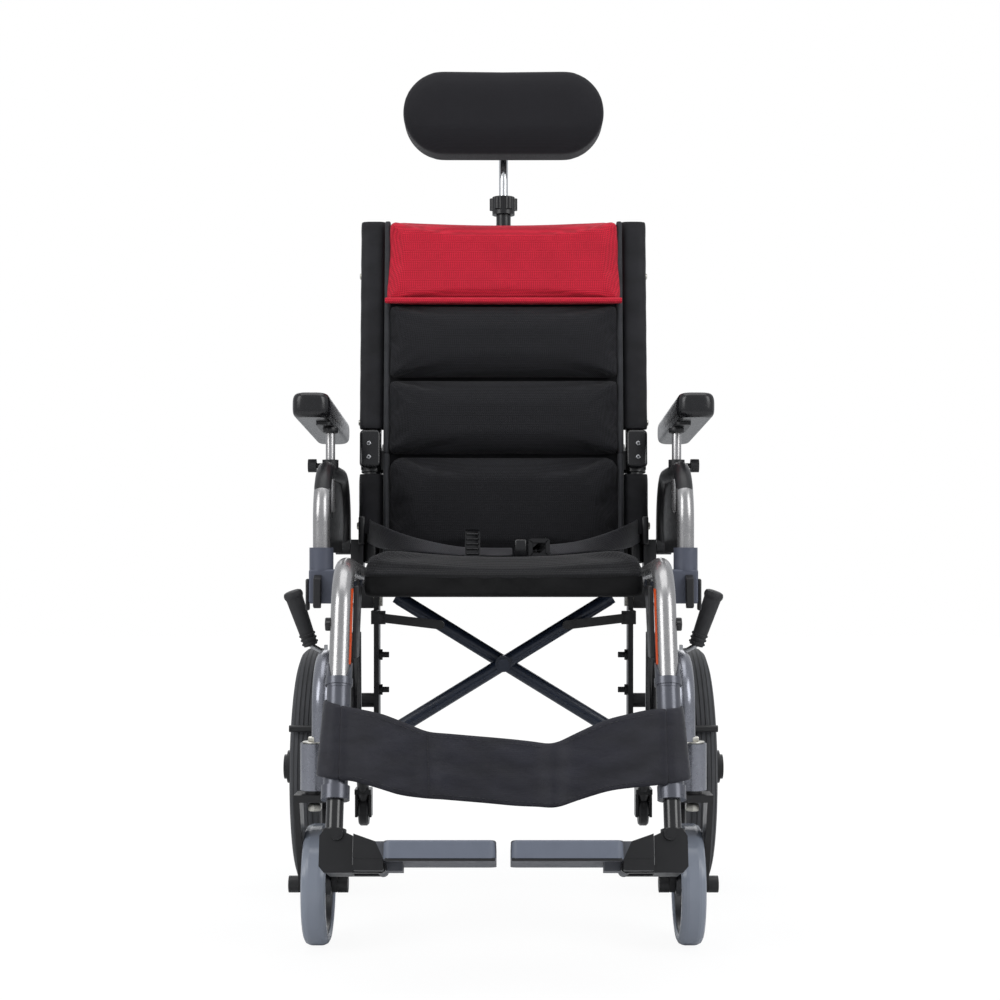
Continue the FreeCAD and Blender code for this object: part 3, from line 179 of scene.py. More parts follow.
# %% Lights
world = scene.world or bpy.data.worlds.new("studio")
scene.world = world
world.use_nodes = True
wt = world.node_tree
wt.nodes.clear()
path = add(wt, "ShaderNodeLightPath")
room = add(wt, "ShaderNodeBackground", Color=(0.90, 0.94, 1.0, 1.0), Strength=0.38)
white = add(wt, "ShaderNodeBackground", Color=(1, 1, 1, 1), Strength=1.0)
mirrored = add(wt, "ShaderNodeBackground", Color=(0.94, 0.96, 1.0, 1.0), Strength=0.62)
first = add(wt, "ShaderNodeMixShader",
            {0: path.outputs["Is Glossy Ray"], 1: room.outputs[0], 2: mirrored.outputs[0]})
mix = add(wt, "ShaderNodeMixShader",
          {0: path.outputs["Is Camera Ray"], 1: first.outputs[0], 2: white.outputs[0]})
add(wt, "ShaderNodeOutputWorld", {0: mix.outputs[0]})


def soft_lamp(name, place, aim, size, power):
    """A rectangular lamp at a place, turned to shine at another."""
    data = bpy.data.lights.new(name, "AREA")
    data.shape = "RECTANGLE"
    data.size, data.size_y = size
    data.energy = power
    lamp = bpy.data.objects.new(name, data)
    lamp.location = place
    lamp.rotation_mode = "QUATERNION"
    lamp.rotation_quaternion = (Vector(aim) - Vector(place)).to_track_quat("-Z", "Y")
    scene.collection.objects.link(lamp)
    return lamp


soft_lamp("left_softbox", (-2.4, -1.9, 2.0), (0, 0, 0.55), (1.6, 2.0), 36)
soft_lamp("right_softbox", (2.4, -1.9, 2.0), (0, 0, 0.55), (1.6, 2.0), 36)
soft_lamp("overhead_softbox", (0, -0.2, 3.0), (0, 0, 0.4), (2.4, 2.0), 24)
soft_lamp("back_softbox", (0, 2.6, 1.8), (0, 0, 0.6), (2.4, 1.6), 18)
print("four soft lamps")

# %% [markdown]
# ## Finishes
# Every finish is built from nodes, on Object coordinates. The frame sits in metres, so a pattern
# that repeats every few millimetres is scaled by one over its pitch. Paint gets a fine orange
# peel, metal gets drawn lines, and cloth gets a knit that looks right on any face of a cushion.

# %% Pattern helpers
def place_of(tree, scale=(1, 1, 1)):
    """The point on the piece, in metres times a scale."""
    here = add(tree, "ShaderNodeTexCoord")
    return add(tree, "ShaderNodeMapping", {"Vector": here.outputs["Object"]}, Scale=scale).outputs[0]


def cloudy(tree, size, detail=3.0, scale=(1, 1, 1)):
    """Soft noise whose lumps are about size metres across."""
    links = {"Vector": place_of(tree, scale)}
    return add(tree, "ShaderNodeTexNoise", links, Scale=1 / size, Detail=detail).outputs[0]


def between(tree, value, dark, light):
    """A colour between two codes, by a value from 0 to 1."""
    made = add(tree, "ShaderNodeMix", data_type="RGBA")
    made.inputs["A"].default_value = linear(dark)
    made.inputs["B"].default_value = linear(light)
    tree.links.new(value, made.inputs["Factor"])
    return made.outputs["Result"]


def bump(tree, shader, height, depth):
    """Raise the surface by up to depth metres where height is 1."""
    made = add(tree, "ShaderNodeBump", {"Height": height}, Strength=1.0, Distance=depth)
    tree.links.new(made.outputs[0], shader.inputs["Normal"])


def knit_height(tree, pitch, stretch=(1, 1, 1)):
    """A three-way wave that gives a regular mesh of stitches on any flat cut through it."""
    turn = [2 * math.pi / (pitch * s) for s in stretch]
    axes = add(tree, "ShaderNodeSeparateXYZ", {"Vector": place_of(tree, turn)})
    x, y, z = (axes.outputs[k] for k in range(3))
    total = 0.0
    for a, b in ((x, y), (y, z), (z, x)):
        wave = math_of(tree, "MULTIPLY", math_of(tree, "SINE", a), math_of(tree, "COSINE", b))
        total = math_of(tree, "ADD", wave, total)
    return spread(tree, total, -1.2, 1.2, 0.0, 1.0)


print("pattern helpers ready")

# %% [markdown]
# ## Paint and metal
# Powder coat drifts a little in colour and gloss. Plated steel shows faint drawn lines, which
# are there more to break up its mirror than to be seen.

# %% Paint and metal
def paint(name, code, roughness=0.35, metallic=0.0, peel=0.00003, coat=0.0):
    """Powder coat: its colour drifts a little, and its gloss is broken by a fine orange peel."""
    material, tree, shader = new_material(name)
    drift = cloudy(tree, 0.03, 4.0)
    tree.links.new(between(tree, drift, shifted(code, -7), code), shader.inputs["Base Color"])
    tree.links.new(spread(tree, cloudy(tree, 0.011, 5.0), 0.3, 0.7, roughness - 0.05, roughness + 0.06),
                   shader.inputs["Roughness"])
    shader.inputs["Metallic"].default_value = metallic
    shader.inputs["Coat Weight"].default_value = coat
    shader.inputs["Coat Roughness"].default_value = 0.12
    bump(tree, shader, cloudy(tree, 0.0016, 2.0), peel)
    return material


def bare_metal(name, code, roughness, drawn=(1, 1, 8)):
    """Plated or drawn metal, with faint lines along one direction and a dulled, handled gloss."""
    material, tree, shader = new_material(name)
    lines = cloudy(tree, 0.0008, 2.0, drawn)
    tone = between(tree, cloudy(tree, 0.008, 4.0), shifted(code, -18), code)
    tree.links.new(tone, shader.inputs["Base Color"])
    gloss = spread(tree, lines, 0.3, 0.7, roughness * 0.8, roughness * 1.25)
    tree.links.new(gloss, shader.inputs["Roughness"])
    shader.inputs["Metallic"].default_value = 1.0
    bump(tree, shader, lines, 0.00001)
    return material


silver_coat = paint("silver_powder_coat", "A8A7A7", 0.27, 0.8, 0.000006, coat=0.25)
black_coat = paint("black_powder_coat", "141416", 0.34)
brace_coat = paint("blue_black_enamel", "272F3F", 0.30, 0.0, 0.000008)
# The base tubes are silver like the seat tubes; this darker copy of the silver paint is painted shade, for
# the shade low under the chair.
shaded_silver_coat = paint("silver_coat_painted_shade", "888A92", 0.26, 0.8, 0.000006, coat=0.25)
leg_coat = paint("graphite_powder_coat", "5D5F67", 0.30, 0.5, 0.000008, coat=0.2)
# The arm sockets are dark; this blue-grey is painted light, the bluish tone that the light lends the left
# one.
socket_painted_light = paint("dark_socket_blue_painted_light", "5B5F6C", 0.42, 0.2)
gas_black = paint("gas_spring_lacquer", "101012", 0.18, coat=0.3)
orange_trim = paint("orange_trim_paint", "E2551C", 0.4)
zinc = bare_metal("bright_zinc", "C4C2BA", 0.3)
chrome = bare_metal("polished_chrome", "E4E5E6", 0.08, (3, 3, 1))
steel_blade = bare_metal("plated_blade_steel", "B9BABC", 0.26)
print("paints and metals:", len(bpy.data.materials))

# %% [markdown]
# ## Plastic, rubber and foam
# Moulded parts carry the fine grain of their mould. The rear tyres have grooves that run round the
# tread; the grooves come out darker than the ridges between them, whose grey varies in patches.

# %% Plastic, rubber and foam
def moulded(name, code, roughness=0.5, grain=0.0007, depth=0.00004, light=""):
    """Moulded plastic or rubber with a fine even grain from its mould."""
    material, tree, shader = new_material(name)
    bright = light or shifted(code, 8)
    tree.links.new(between(tree, cloudy(tree, 0.02, 5.0), code, bright), shader.inputs["Base Color"])
    tree.links.new(spread(tree, cloudy(tree, 0.006, 4.0), 0.3, 0.7, roughness - 0.05, roughness + 0.07),
                   shader.inputs["Roughness"])
    pores = add(tree, "ShaderNodeTexVoronoi", {"Vector": place_of(tree)}, Scale=1 / grain)
    bump(tree, shader, pores.outputs["Distance"], depth)
    return material


black_plastic = moulded("black_nylon_plastic", "131315", 0.40)
gloss_black = moulded("polished_black_knob", "121214", 0.22, 0.002, 0.00001)
grip_rubber = moulded("ribbed_grip_rubber", "222224", 0.6)
pad_foam = moulded("skinned_black_foam", "101012", 0.24, 0.0012, 0.000006)
plate_plastic = moulded("grey_footplate_plastic", "4C4E54", 0.5, 0.0011, 0.00009, "5A5C62")
castor_rubber = moulded("blue_grey_castor_rubber", "868D99", 0.20, 0.0012, 0.000003, "898F9B")
castor_hub = moulded("dark_castor_hub_plastic", "2C2D30", 0.42)
plate_edge = moulded("pale_footplate_edge", "656B78", 0.42, 0.0011, 0.00004, "6F7582")


def grooved_rubber(name, dark, light, pitch, deep):
    """Tyre rubber with grooves that run round the tread; they fade out on the flat side walls."""
    material, tree, shader = new_material(name)
    axes = add(tree, "ShaderNodeSeparateXYZ", {"Vector": place_of(tree, (2 * math.pi / pitch, 1, 1))})
    groove = spread(tree, math_of(tree, "SINE", axes.outputs[0]), -0.95, -0.35, 0.0, 1.0)
    ridge_patches = spread(tree, cloudy(tree, 0.03, 5.0), 0.3, 0.7, 0.55, 1.0)
    # The grooves come out darker than the ridges, whose grey varies in patches.
    tone = math_of(tree, "MULTIPLY", groove, ridge_patches)
    tree.links.new(between(tree, tone, dark, light), shader.inputs["Base Color"])
    shader.inputs["Roughness"].default_value = 0.68
    bump(tree, shader, groove, deep)
    return material


tyre_rubber = grooved_rubber("grooved_tyre_rubber", "252628", "434447", 0.0064, 0.0012)
print("plastics and rubbers done")

# %% [markdown]
# ## Cloth
# Two sorts of cloth cover the chair. A knit with open stitches covers the pads, and a plain woven
# nylon, with soft creases from handling, makes the sleeves, the strap and the belt.

# %% Cloth
def knit_cloth(name, dark, light, pitch, depth, stretch=(1, 1, 1), sheen=0.25, roughness=0.85):
    """A knitted spacer cloth: open stitches at one pitch, darker in their holes, a little sheen."""
    material, tree, shader = new_material(name)
    stitches = knit_height(tree, pitch, stretch)
    handled = spread(tree, cloudy(tree, 0.05, 4.0), 0.3, 0.7, 0.75, 1.0)
    tone = math_of(tree, "MULTIPLY", stitches, handled)
    tree.links.new(between(tree, tone, dark, light), shader.inputs["Base Color"])
    shader.inputs["Roughness"].default_value = roughness
    shader.inputs["Specular IOR Level"].default_value = 0.35
    shader.inputs["Sheen Weight"].default_value = sheen
    shader.inputs["Sheen Roughness"].default_value = 0.45
    bump(tree, shader, stitches, depth)
    return material


def woven_cloth(name, dark, light, pitch, depth, crease=0.0008, roughness=0.6, sheen=0.15):
    """Plain woven nylon: fine crossing threads and soft handling creases, with painted shade darkening the
    hollows of the creases.
    """
    material, tree, shader = new_material(name)
    threads = knit_height(tree, pitch)
    creases = cloudy(tree, 0.045, 5.0, (1, 1, 1.8))
    weave = spread(tree, threads, 0, 1, 0.5, 1.0)
    # The hollows of the creases are painted darker, as shade, by the same noise that raises their bump.
    painted_crease_shade = spread(tree, creases, 0.3, 0.7, 0.35, 1.0)
    tone = math_of(tree, "MULTIPLY", weave, painted_crease_shade)
    tree.links.new(between(tree, tone, dark, light), shader.inputs["Base Color"])
    gloss = spread(tree, creases, 0.3, 0.7, roughness + 0.1, roughness - 0.05)
    tree.links.new(gloss, shader.inputs["Roughness"])
    shader.inputs["Specular IOR Level"].default_value = 0.3
    shader.inputs["Sheen Weight"].default_value = sheen
    height = math_of(tree, "ADD", math_of(tree, "MULTIPLY", threads, depth / crease), creases)
    bump(tree, shader, height, crease)
    return material


pad_cloth = knit_cloth("black_spacer_knit", "09090C", "212126", 0.0030, 0.0005, (1, 1, 0.8), 0.07)
seat_cloth = knit_cloth("black_seat_knit", "09090B", "222225", 0.0036, 0.0007, (0.55, 1, 1.6), 0.10)
head_cloth = knit_cloth("fine_black_jersey", "100F13", "1A191F", 0.0016, 0.0001, sheen=0.12)
red_mesh = knit_cloth("red_air_mesh", "A00B21", "EC1C3E", 0.0030, 0.0005, (0.9, 1, 0.9), 0.1, 0.75)
sleeve_cloth = woven_cloth("black_sleeve_nylon", "08080B", "15151B", 0.0014, 0.0001, sheen=0.08)
# The cushion's lower cover is black nylon, painted darker still as the shade under the cushion's front roll.
cover_cloth_in_shade = woven_cloth("black_cover_painted_shade", "030304", "080809", 0.0014, 0.0001, 0.0012, 0.8, 0.0)
piping_cloth = woven_cloth("dark_grey_piping", "202124", "333438", 0.0012, 0.0001)
strap_cloth = woven_cloth("navy_black_nylon", "0B0B11", "20202C", 0.0012, 0.0001, 0.0030, 0.5)
belt_web = woven_cloth("ribbed_belt_webbing", "101013", "2C2C33", 0.0026, 0.0003, 0.0004, 0.42)
print("cloths done;", len(bpy.data.materials), "materials")

# %% [markdown]
# ## Modelling by hand, in code
# Each piece starts as a primitive at its size and place. Edit mode then bevels, insets and
# extrudes it, modifiers round it off and are applied, and the finished piece is tied to the body
# that carries it. These helpers do the selecting, which a person would do with the mouse.

# %% Adding and selecting
def start(kind, name, **settings):
    """Add one primitive, with nothing else selected, and fix its place in its mesh."""
    bpy.ops.object.select_all(action="DESELECT")
    getattr(bpy.ops.mesh, f"primitive_{kind}_add")(**settings)
    made = bpy.context.object
    made.name = name
    bpy.ops.object.transform_apply(location=True, rotation=True, scale=True)
    return made


def block(name, low, high):
    """A cuboid between two corners, in metres."""
    middle = [(a + b) / 2 for a, b in zip(low, high)]
    return start("cube", name, size=1, location=middle, scale=[b - a for a, b in zip(low, high)])


def only(piece):
    """Make one piece the only selected and active one."""
    bpy.ops.object.select_all(action="DESELECT")
    piece.select_set(True)
    bpy.context.view_layer.objects.active = piece


def choose(piece, mode, test):
    """Enter edit mode with just the edges or faces selected whose middle and direction pass."""
    only(piece)
    bpy.ops.object.mode_set(mode="EDIT")
    bpy.ops.mesh.select_mode(type=mode)
    bpy.ops.mesh.select_all(action="DESELECT")
    bpy.ops.object.mode_set(mode="OBJECT")
    mesh = piece.data
    if mode == "EDGE":
        for e in mesh.edges:
            a, b = (mesh.vertices[v].co for v in e.vertices)
            e.select = bool(test((a + b) / 2, (b - a).normalized()))
    else:
        for f in mesh.polygons:
            f.select = bool(test(f.center, f.normal))
    bpy.ops.object.mode_set(mode="EDIT")


def done_editing():
    bpy.ops.object.mode_set(mode="OBJECT")


print("adding and selecting ready")

# %% [markdown]
# ## Shaping
# Edges are bevelled in edit mode and modifiers are applied at once. A rule that moves every
# vertex does what a sculpting brush would do.

# %% Shaping helpers
def bevel_edges(piece, width, segments, test):
    """Round off the edges that pass a test on their middle and direction."""
    choose(piece, "EDGE", test)
    bpy.ops.mesh.bevel(offset=width, segments=segments, affect="EDGES")
    done_editing()


def modify(piece, kind, **settings):
    """Add a modifier, set it and apply it."""
    only(piece)
    made = piece.modifiers.new(kind.lower(), kind)
    for name, value in settings.items():
        setattr(made, name, value)
    bpy.ops.object.modifier_apply(modifier=made.name)
    return piece


def reshape(piece, rule):
    """Move every vertex by a rule, as one would with a sculpting brush."""
    for v in piece.data.vertices:
        v.co = rule(v.co.copy())
    piece.data.update()
    return piece


def smooth(piece, degrees):
    """Shade smoothly over every edge that bends by less than degrees."""
    only(piece)
    bpy.ops.object.shade_smooth_by_angle(angle=math.radians(degrees))
    return piece


def outward(piece):
    """Turn every face outward."""
    only(piece)
    bpy.ops.object.mode_set(mode="EDIT")
    bpy.ops.mesh.select_all(action="SELECT")
    bpy.ops.mesh.normals_make_consistent(inside=False)
    done_editing()
    return piece


print("shaping helpers ready")

# %% [markdown]
# ## Joining, mirroring and finishing
# Most pieces are made once for the left side and mirrored. A finished piece gets its material and
# the body that carries it, and where it stands for a CAD node, that node is hidden.

# %% Finishing helpers
def join(name, *pieces):
    """Join pieces into one mesh, each keeping its own material."""
    bpy.ops.object.select_all(action="DESELECT")
    for piece in pieces:
        piece.select_set(True)
    bpy.context.view_layer.objects.active = pieces[0]
    bpy.ops.object.join()
    pieces[0].name = name
    return pieces[0]


def copy_of(piece, name):
    """A second piece with its own mesh."""
    made = piece.copy()
    made.data = piece.data.copy()
    made.name = name
    scene.collection.objects.link(made)
    return made


def mirror_of(piece, name):
    """The same piece on the other side of the chair."""
    made = copy_of(piece, name)
    reshape(made, lambda p: Vector((-p.x, p.y, p.z)))
    made.data.flip_normals()
    return made


def finish_piece(piece, material, body, stands_for=()):
    """Give a piece its finish and its body, and hide the CAD nodes it stands for, if any."""
    if material:
        piece.data.materials.clear()
        piece.data.materials.append(material)
    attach(piece, body)
    if stands_for:
        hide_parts(*stands_for)
    return piece


def both_sides(piece, name, material, body, stands_for=()):
    """Finish a piece made for the left side and its mirror copy for the right."""
    other = mirror_of(piece, name + "_right")
    piece.name = name + "_left"
    for made, side in ((piece, "left"), (other, "right")):
        finish_piece(made, material, body + "_" + side, [n + "_" + side for n in stands_for])
    return piece, other


print("finishing helpers ready")

# %% [markdown]
# ## Ribbons and rods
# A strap, a seam or a thin sheet is a grid whose points are placed one station after another and
# then given a thickness. A rod is a cylinder laid between two points.

# %% Ribbons and rods
def ribbon(name, rows, thick, smoothing=1):
    """A strap from a grid: rows is a list of stations, each a list of points across its width."""
    along, across = len(rows), len(rows[0])
    made = start("grid", name, x_subdivisions=across - 1, y_subdivisions=along - 1, size=1)
    order = sorted(made.data.vertices, key=lambda v: (round(v.co.y, 4), round(v.co.x, 4)))
    for k, v in enumerate(order):
        v.co = Vector(rows[k // across][k % across])
    modify(made, "SOLIDIFY", thickness=thick, offset=0)
    if smoothing:
        modify(made, "SUBSURF", levels=smoothing, render_levels=smoothing)
    return smooth(outward(made), 60)


def rod_between(name, a, b, radius, sides=24, round_edge=0.0):
    """A round bar from a to b with softened ends."""
    a, b = Vector(a), Vector(b)
    run = b - a
    made = start("cylinder", name, radius=radius, depth=run.length, vertices=sides)
    if round_edge:
        half = run.length / 2
        bevel_edges(made, round_edge, 2, lambda m, d: abs(abs(m.z) - half) < 1e-5)
    turn = run.to_track_quat("Z", "Y")
    middle = (a + b) / 2
    reshape(made, lambda p: turn @ p + middle)
    return smooth(made, 40)


print("ribbons and rods ready")

# %% [markdown]
# ## Where the canes and legs are
# The back canes lean by six degrees and the leg tubes slope forward by twenty. A soft part is
# modelled upright and then sheared along the lean, so its seams stay level.

# %% Lines of the frame
CANE_X = 0.192
CANE_FOOT = (0.190, 0.470)      # depth and height of the foot of a cane's axis
LEG_TOP = (-0.300, 0.404)       # depth and height of the top of a leg tube's axis
LEAN = math.tan(math.radians(6))
LEG_SLOPE = math.tan(math.radians(20))


def cane_y(z):
    """Depth of the cane's axis at a height."""
    return CANE_FOOT[0] + (z - CANE_FOOT[1]) * LEAN


def leg_y(z):
    """Depth of the leg tube's axis at a height."""
    return LEG_TOP[0] - (LEG_TOP[1] - z) * LEG_SLOPE


print("cane at the top:", round(cane_y(0.975), 3), "leg at the strap:", round(leg_y(0.275), 3))

# %% [markdown]
# ## Pieces that span both sides
# As the chair folds, its right side moves towards its left side. A soft piece that spans the two
# is given a mesh of its own.


def squash_between(piece):
    """Give a piece that spans both sides of the chair a mesh of its own."""
    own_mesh(piece)
    return piece


# %% [markdown]
# ## Foam and air
# A pad starts as a block and swells a little as sealed cloth, with its rear face held flat. It is
# then leaned back along the canes.

# %% Foam and air
def blow_up(piece, voxel, pressure, cap, held):
    """Let the piece swell as sealed cloth; the points that pass held stay put, none moves past cap."""
    modify(piece, "REMESH", mode="VOXEL", voxel_size=voxel)
    start_points = [v.co.copy() for v in piece.data.vertices]
    group = piece.vertex_groups.new(name="held")
    group.add([k for k, p in enumerate(start_points) if held(p)], 1.0, "REPLACE")
    cloth = piece.modifiers.new("air", "CLOTH")
    cloth.settings.vertex_group_mass = "held"
    cloth.settings.use_pressure = True
    cloth.settings.uniform_pressure_force = pressure
    cloth.settings.effector_weights.gravity = 0
    cloth.collision_settings.use_collision = False
    for frame_number in range(1, 21):
        scene.frame_set(frame_number)
    only(piece)
    bpy.ops.object.modifier_apply(modifier=cloth.name)
    scene.frame_set(1)
    for v, was in zip(piece.data.vertices, start_points):
        moved = v.co - was
        if moved.length > cap:
            v.co = was + moved * (cap / moved.length)
    modify(piece, "SUBSURF", levels=1, render_levels=1)
    return piece


def lean_back(piece, front):
    """Shear an upright piece onto the lean of the canes, its front face ahead of their axis."""
    return reshape(piece, lambda p: Vector((p.x, p.y + cane_y(p.z) - front, p.z)))


print("foam and air ready")

# %% [markdown]
# ## Padded back
# The back is a sling between two sleeves. Three black spacer-knit pads are sewn to it one above
# another, and the sewn channels between them draw their edges in.

# %% Pads
PAD_HALF = 0.1665
PAD_THICK = 0.026
BACK_AHEAD = 0.036      # how far the front of the back stands ahead of the canes' axes
PADS = (("back_pad_low", 0.478, 0.6295, 0.016, "seat_left", "back_pad_lower"),
        ("back_pad_middle", 0.6345, 0.7425, 0.005, "upper_back_left", "back_pad_upper"),
        ("back_pad_high", 0.7475, 0.8535, 0.005, "upper_back_left", "back_pad_upper"))


def back_pad(name, low, high, corner):
    """One pad between two heights, with rounded corners and a crowned face."""
    made = block(name, (-PAD_HALF, 0, low), (PAD_HALF, PAD_THICK, high))
    bevel_edges(made, corner, 3, lambda m, d: abs(d.y) > 0.9)
    bevel_edges(made, 0.010, 3, lambda m, d: m.y < 0.001)
    blow_up(made, 0.005, 4.5, 0.010, lambda p: p.y > PAD_THICK - 0.004)
    return lean_back(made, BACK_AHEAD)


for name, low, high, corner, body, node in PADS:
    piece = back_pad(name, low, high, corner)
    finish_piece(smooth(piece, 180), pad_cloth, body, [node])
    squash_between(piece)
    print(name, len(piece.data.polygons), "faces")

# %% [markdown]
# ## Red top panel
# A red air-mesh cover is slipped over the top of the back. It is thinner than the pads, its top
# edge dips in the middle, and its lower hem is a little wider and stands proud of the pads.

# %% Red panel
RED_HALF = 0.167
RED_LOW = 0.8575
RED_HIGH = 0.980
red_panel = block("back_panel_red", (-RED_HALF, 0, RED_LOW), (RED_HALF, 0.030, RED_HIGH))
bevel_edges(red_panel, 0.006, 3, lambda m, d: abs(d.y) > 0.9)
bevel_edges(red_panel, 0.007, 3, lambda m, d: m.y < 0.001)
blow_up(red_panel, 0.005, 2.5, 0.004, lambda p: p.y > 0.026)


def hang_red(p):
    """Widen the panel towards its hem and let its top edge dip in the middle."""
    share = (p.z - RED_LOW) / (RED_HIGH - RED_LOW)
    dip = 0.0055 * share * (1 - (p.x / RED_HALF) ** 2)
    return Vector((p.x * (1.036 - 0.036 * share), p.y, p.z - dip))


lean_back(reshape(red_panel, hang_red), BACK_AHEAD)
finish_piece(smooth(red_panel, 180), red_mesh, "upper_back_left", ["back_top_panel"])
squash_between(red_panel)
print("red panel", len(red_panel.data.polygons), "faces")

# %% [markdown]
# ## Hem of the red panel
# The hem is a rolled strip. Its section is given as heights and how far each stands ahead of the
# canes' axes.

# %% Red hem
HEM_HALF = 0.1735
HEM_SECTION = ((0.8555, 0.036), (0.8560, 0.0405), (0.8590, 0.0415), (0.8625, 0.0405), (0.8640, 0.0370))
hem_rows = [[(x, cane_y(z) - ahead, z) for z, ahead in HEM_SECTION]
            for x in np.linspace(-HEM_HALF, HEM_HALF, 41)]
red_hem = ribbon("back_panel_hem", hem_rows, 0.0012)
finish_piece(red_hem, red_mesh, "upper_back_left")
squash_between(red_hem)
print("hem", len(red_hem.data.polygons), "faces")

# %% [markdown]
# ## Sling
# Behind the pads a plain nylon sling runs from cane to cane. It is split at the half-fold hinges,
# so that the upper part folds down with the upper canes.

# %% Sling
SLING_HALF = 0.1765


def sling(name, low, high, body):
    """A sheet between the canes from one height to another, a little ahead of their axes."""
    rows = [[(x, cane_y(z) - 0.0045 + 0.0015 * math.sin(math.pi * abs(x) / 0.36), z)
             for z in np.linspace(low, high, 9)] for x in np.linspace(-SLING_HALF, SLING_HALF, 25)]
    made = ribbon(name, rows, 0.0014, 0)
    finish_piece(made, sleeve_cloth, body)
    squash_between(made)
    return made


sling("sling_low", 0.474, 0.6369, "seat_left")
sling("sling_high", 0.6371, 0.975, "upper_back_left")
print("sling hung")

# %% [markdown]
# ## Binding
# A dark grey binding closes both edges of the padded part. It is split at the same height as the
# sling.

# %% Binding
BINDING_X = 0.1705
BINDING_SECTION = ((-0.0042, 0.022), (-0.0030, 0.0265), (0.0, 0.0285), (0.0030, 0.0265), (0.0042, 0.022))


def binding(name, side, low, high, body):
    """A rounded strip up one edge of the padded part."""
    rows = [[(side * (BINDING_X + dx), cane_y(z) - ahead, z) for dx, ahead in BINDING_SECTION]
            for z in np.linspace(low, high, 30)]
    made = ribbon(name, rows, 0.0012)
    finish_piece(made, piping_cloth, body)
    squash_between(made)
    return made


for side, word in ((-1, "left"), (1, "right")):
    binding("binding_low_" + word, side, 0.478, 0.6354, "seat_left")
    binding("binding_high_" + word, side, 0.6356, 0.980, "upper_back_left")
print("bindings sewn")

# %% [markdown]
# ## Sleeves
# Outside the binding the nylon wraps round each cane as a sleeve. The sleeves stop at the hinges
# and are open behind at the top, where the push handles come out.

# %% Sleeves
SLEEVE_WIDE = 0.0180
SLEEVE_DEEP = 0.0172
SQUARENESS = 0.62       # one is round, and less is squarer


def sleeve(name, low, high, open_above, body):
    """A soft tube of nylon round the left cane, squarer than the tube inside it."""
    made = start("cylinder", name, vertices=40, radius=1, depth=1, end_fill_type="NOTHING")
    rings = int((high - low) / 0.012)
    only(made)
    bpy.ops.object.mode_set(mode="EDIT")
    bpy.ops.mesh.select_all(action="SELECT")
    for k in range(1, rings):
        bpy.ops.mesh.select_all(action="SELECT")
        bpy.ops.mesh.bisect(plane_co=(0, 0, k / rings - 0.5), plane_no=(0, 0, 1))
    done_editing()

    def wrap(p):
        z = low + (p.z + 0.5) * (high - low)
        turn = math.atan2(p.y, p.x)
        ruck = 1 + 0.022 * math.sin(z * 190 + 2 * math.sin(turn)) * math.sin(turn * 2 + z * 60)
        across = math.copysign(abs(math.cos(turn)) ** SQUARENESS, math.cos(turn)) * SLEEVE_WIDE * ruck
        deep = math.copysign(abs(math.sin(turn)) ** SQUARENESS, math.sin(turn)) * SLEEVE_DEEP * ruck
        return Vector((-CANE_X + across, cane_y(z) + deep, z))

    reshape(made, wrap)
    choose(made, "FACE", lambda m, n: m.z > open_above and m.y > cane_y(m.z) + 0.004)
    bpy.ops.mesh.delete(type="FACE")
    done_editing()
    outward(made)
    modify(made, "SOLIDIFY", thickness=0.0014, offset=1)
    modify(made, "SUBSURF", levels=1, render_levels=1)
    smooth(made, 60)
    return both_sides(made, name, sleeve_cloth, body)


sleeve("cane_sleeve_low", 0.517, 0.606, 9.0, "seat")
sleeve("cane_sleeve_high", 0.672, 0.9815, 0.900, "upper_back")
print("sleeves wrapped")

# %% [markdown]
# ## Seat cushion
# The cushion is a broad crowned pad whose middle sags where people sit. Its knit cover rolls over
# the front edge to a seam.

# %% Cushion
SAG = 0.0135


def cushion_sag(p):
    """Lower the top of the cushion by SAG in the middle and not at all at its sides."""
    middle = 1 - min(1, abs(p.x) / 0.176) ** 2
    upper = min(1, max(0, (p.z - 0.455) / 0.03))
    return Vector((p.x, p.y, p.z - SAG * middle * upper))


cushion = block("seat_cushion_top", (-0.172, -0.236, 0.4575), (0.172, 0.144, 0.4905))
bevel_edges(cushion, 0.009, 4, lambda m, d: abs(d.z) > 0.9)
bevel_edges(cushion, 0.012, 4, lambda m, d: m.z > 0.490)
blow_up(cushion, 0.006, 5.0, 0.007, lambda p: p.z < 0.464)
reshape(cushion, cushion_sag)
finish_piece(smooth(cushion, 180), seat_cloth, "seat_pad", ["seat_cushion"])
squash_between(cushion)
print("cushion", len(cushion.data.polygons), "faces")

# %% [markdown]
# ## Cushion base
# Below the seam a plain black nylon cover closes the front, with small upright creases; its
# near-black is partly its own colour and partly painted shade, for the shade under the cushion's
# front roll. Behind its front lip the base is narrower, to leave room for the frame when the seat tilts.

# %% Cushion base
base = block("seat_cushion_base", (-0.171, -0.2345, 0.4345), (0.171, 0.142, 0.4640))
bevel_edges(base, 0.008, 4, lambda m, d: abs(d.z) > 0.9)
bevel_edges(base, 0.004, 3, lambda m, d: m.z < 0.435)
modify(base, "REMESH", mode="VOXEL", voxel_size=0.006)
modify(base, "SUBSURF", levels=1, render_levels=1)


def base_creases(p):
    """Crease the front face, and draw the sides in behind it."""
    pull = 0.0016 * math.sin(p.x * 130 + 3 * math.sin(p.x * 31)) * max(0, 1 - abs(p.z - 0.449) / 0.016)
    waist = 1 - 0.036 * min(1, max(0, (p.y + 0.215) / 0.02))
    return Vector((p.x * waist, p.y + (pull if p.y < -0.2 else 0), p.z))


reshape(base, base_creases)
finish_piece(smooth(base, 180), cover_cloth_in_shade, "seat_pad", ["seat_cushion"])
squash_between(base)
print("cushion base", len(base.data.polygons), "faces")

# %% [markdown]
# ## Headrest pad
# A long oval block of foam in a fine jersey cover. Its face is almost flat, rolls over a wide
# bevel at the lower edge and a tighter one above, and its rear is a shallower bevel.

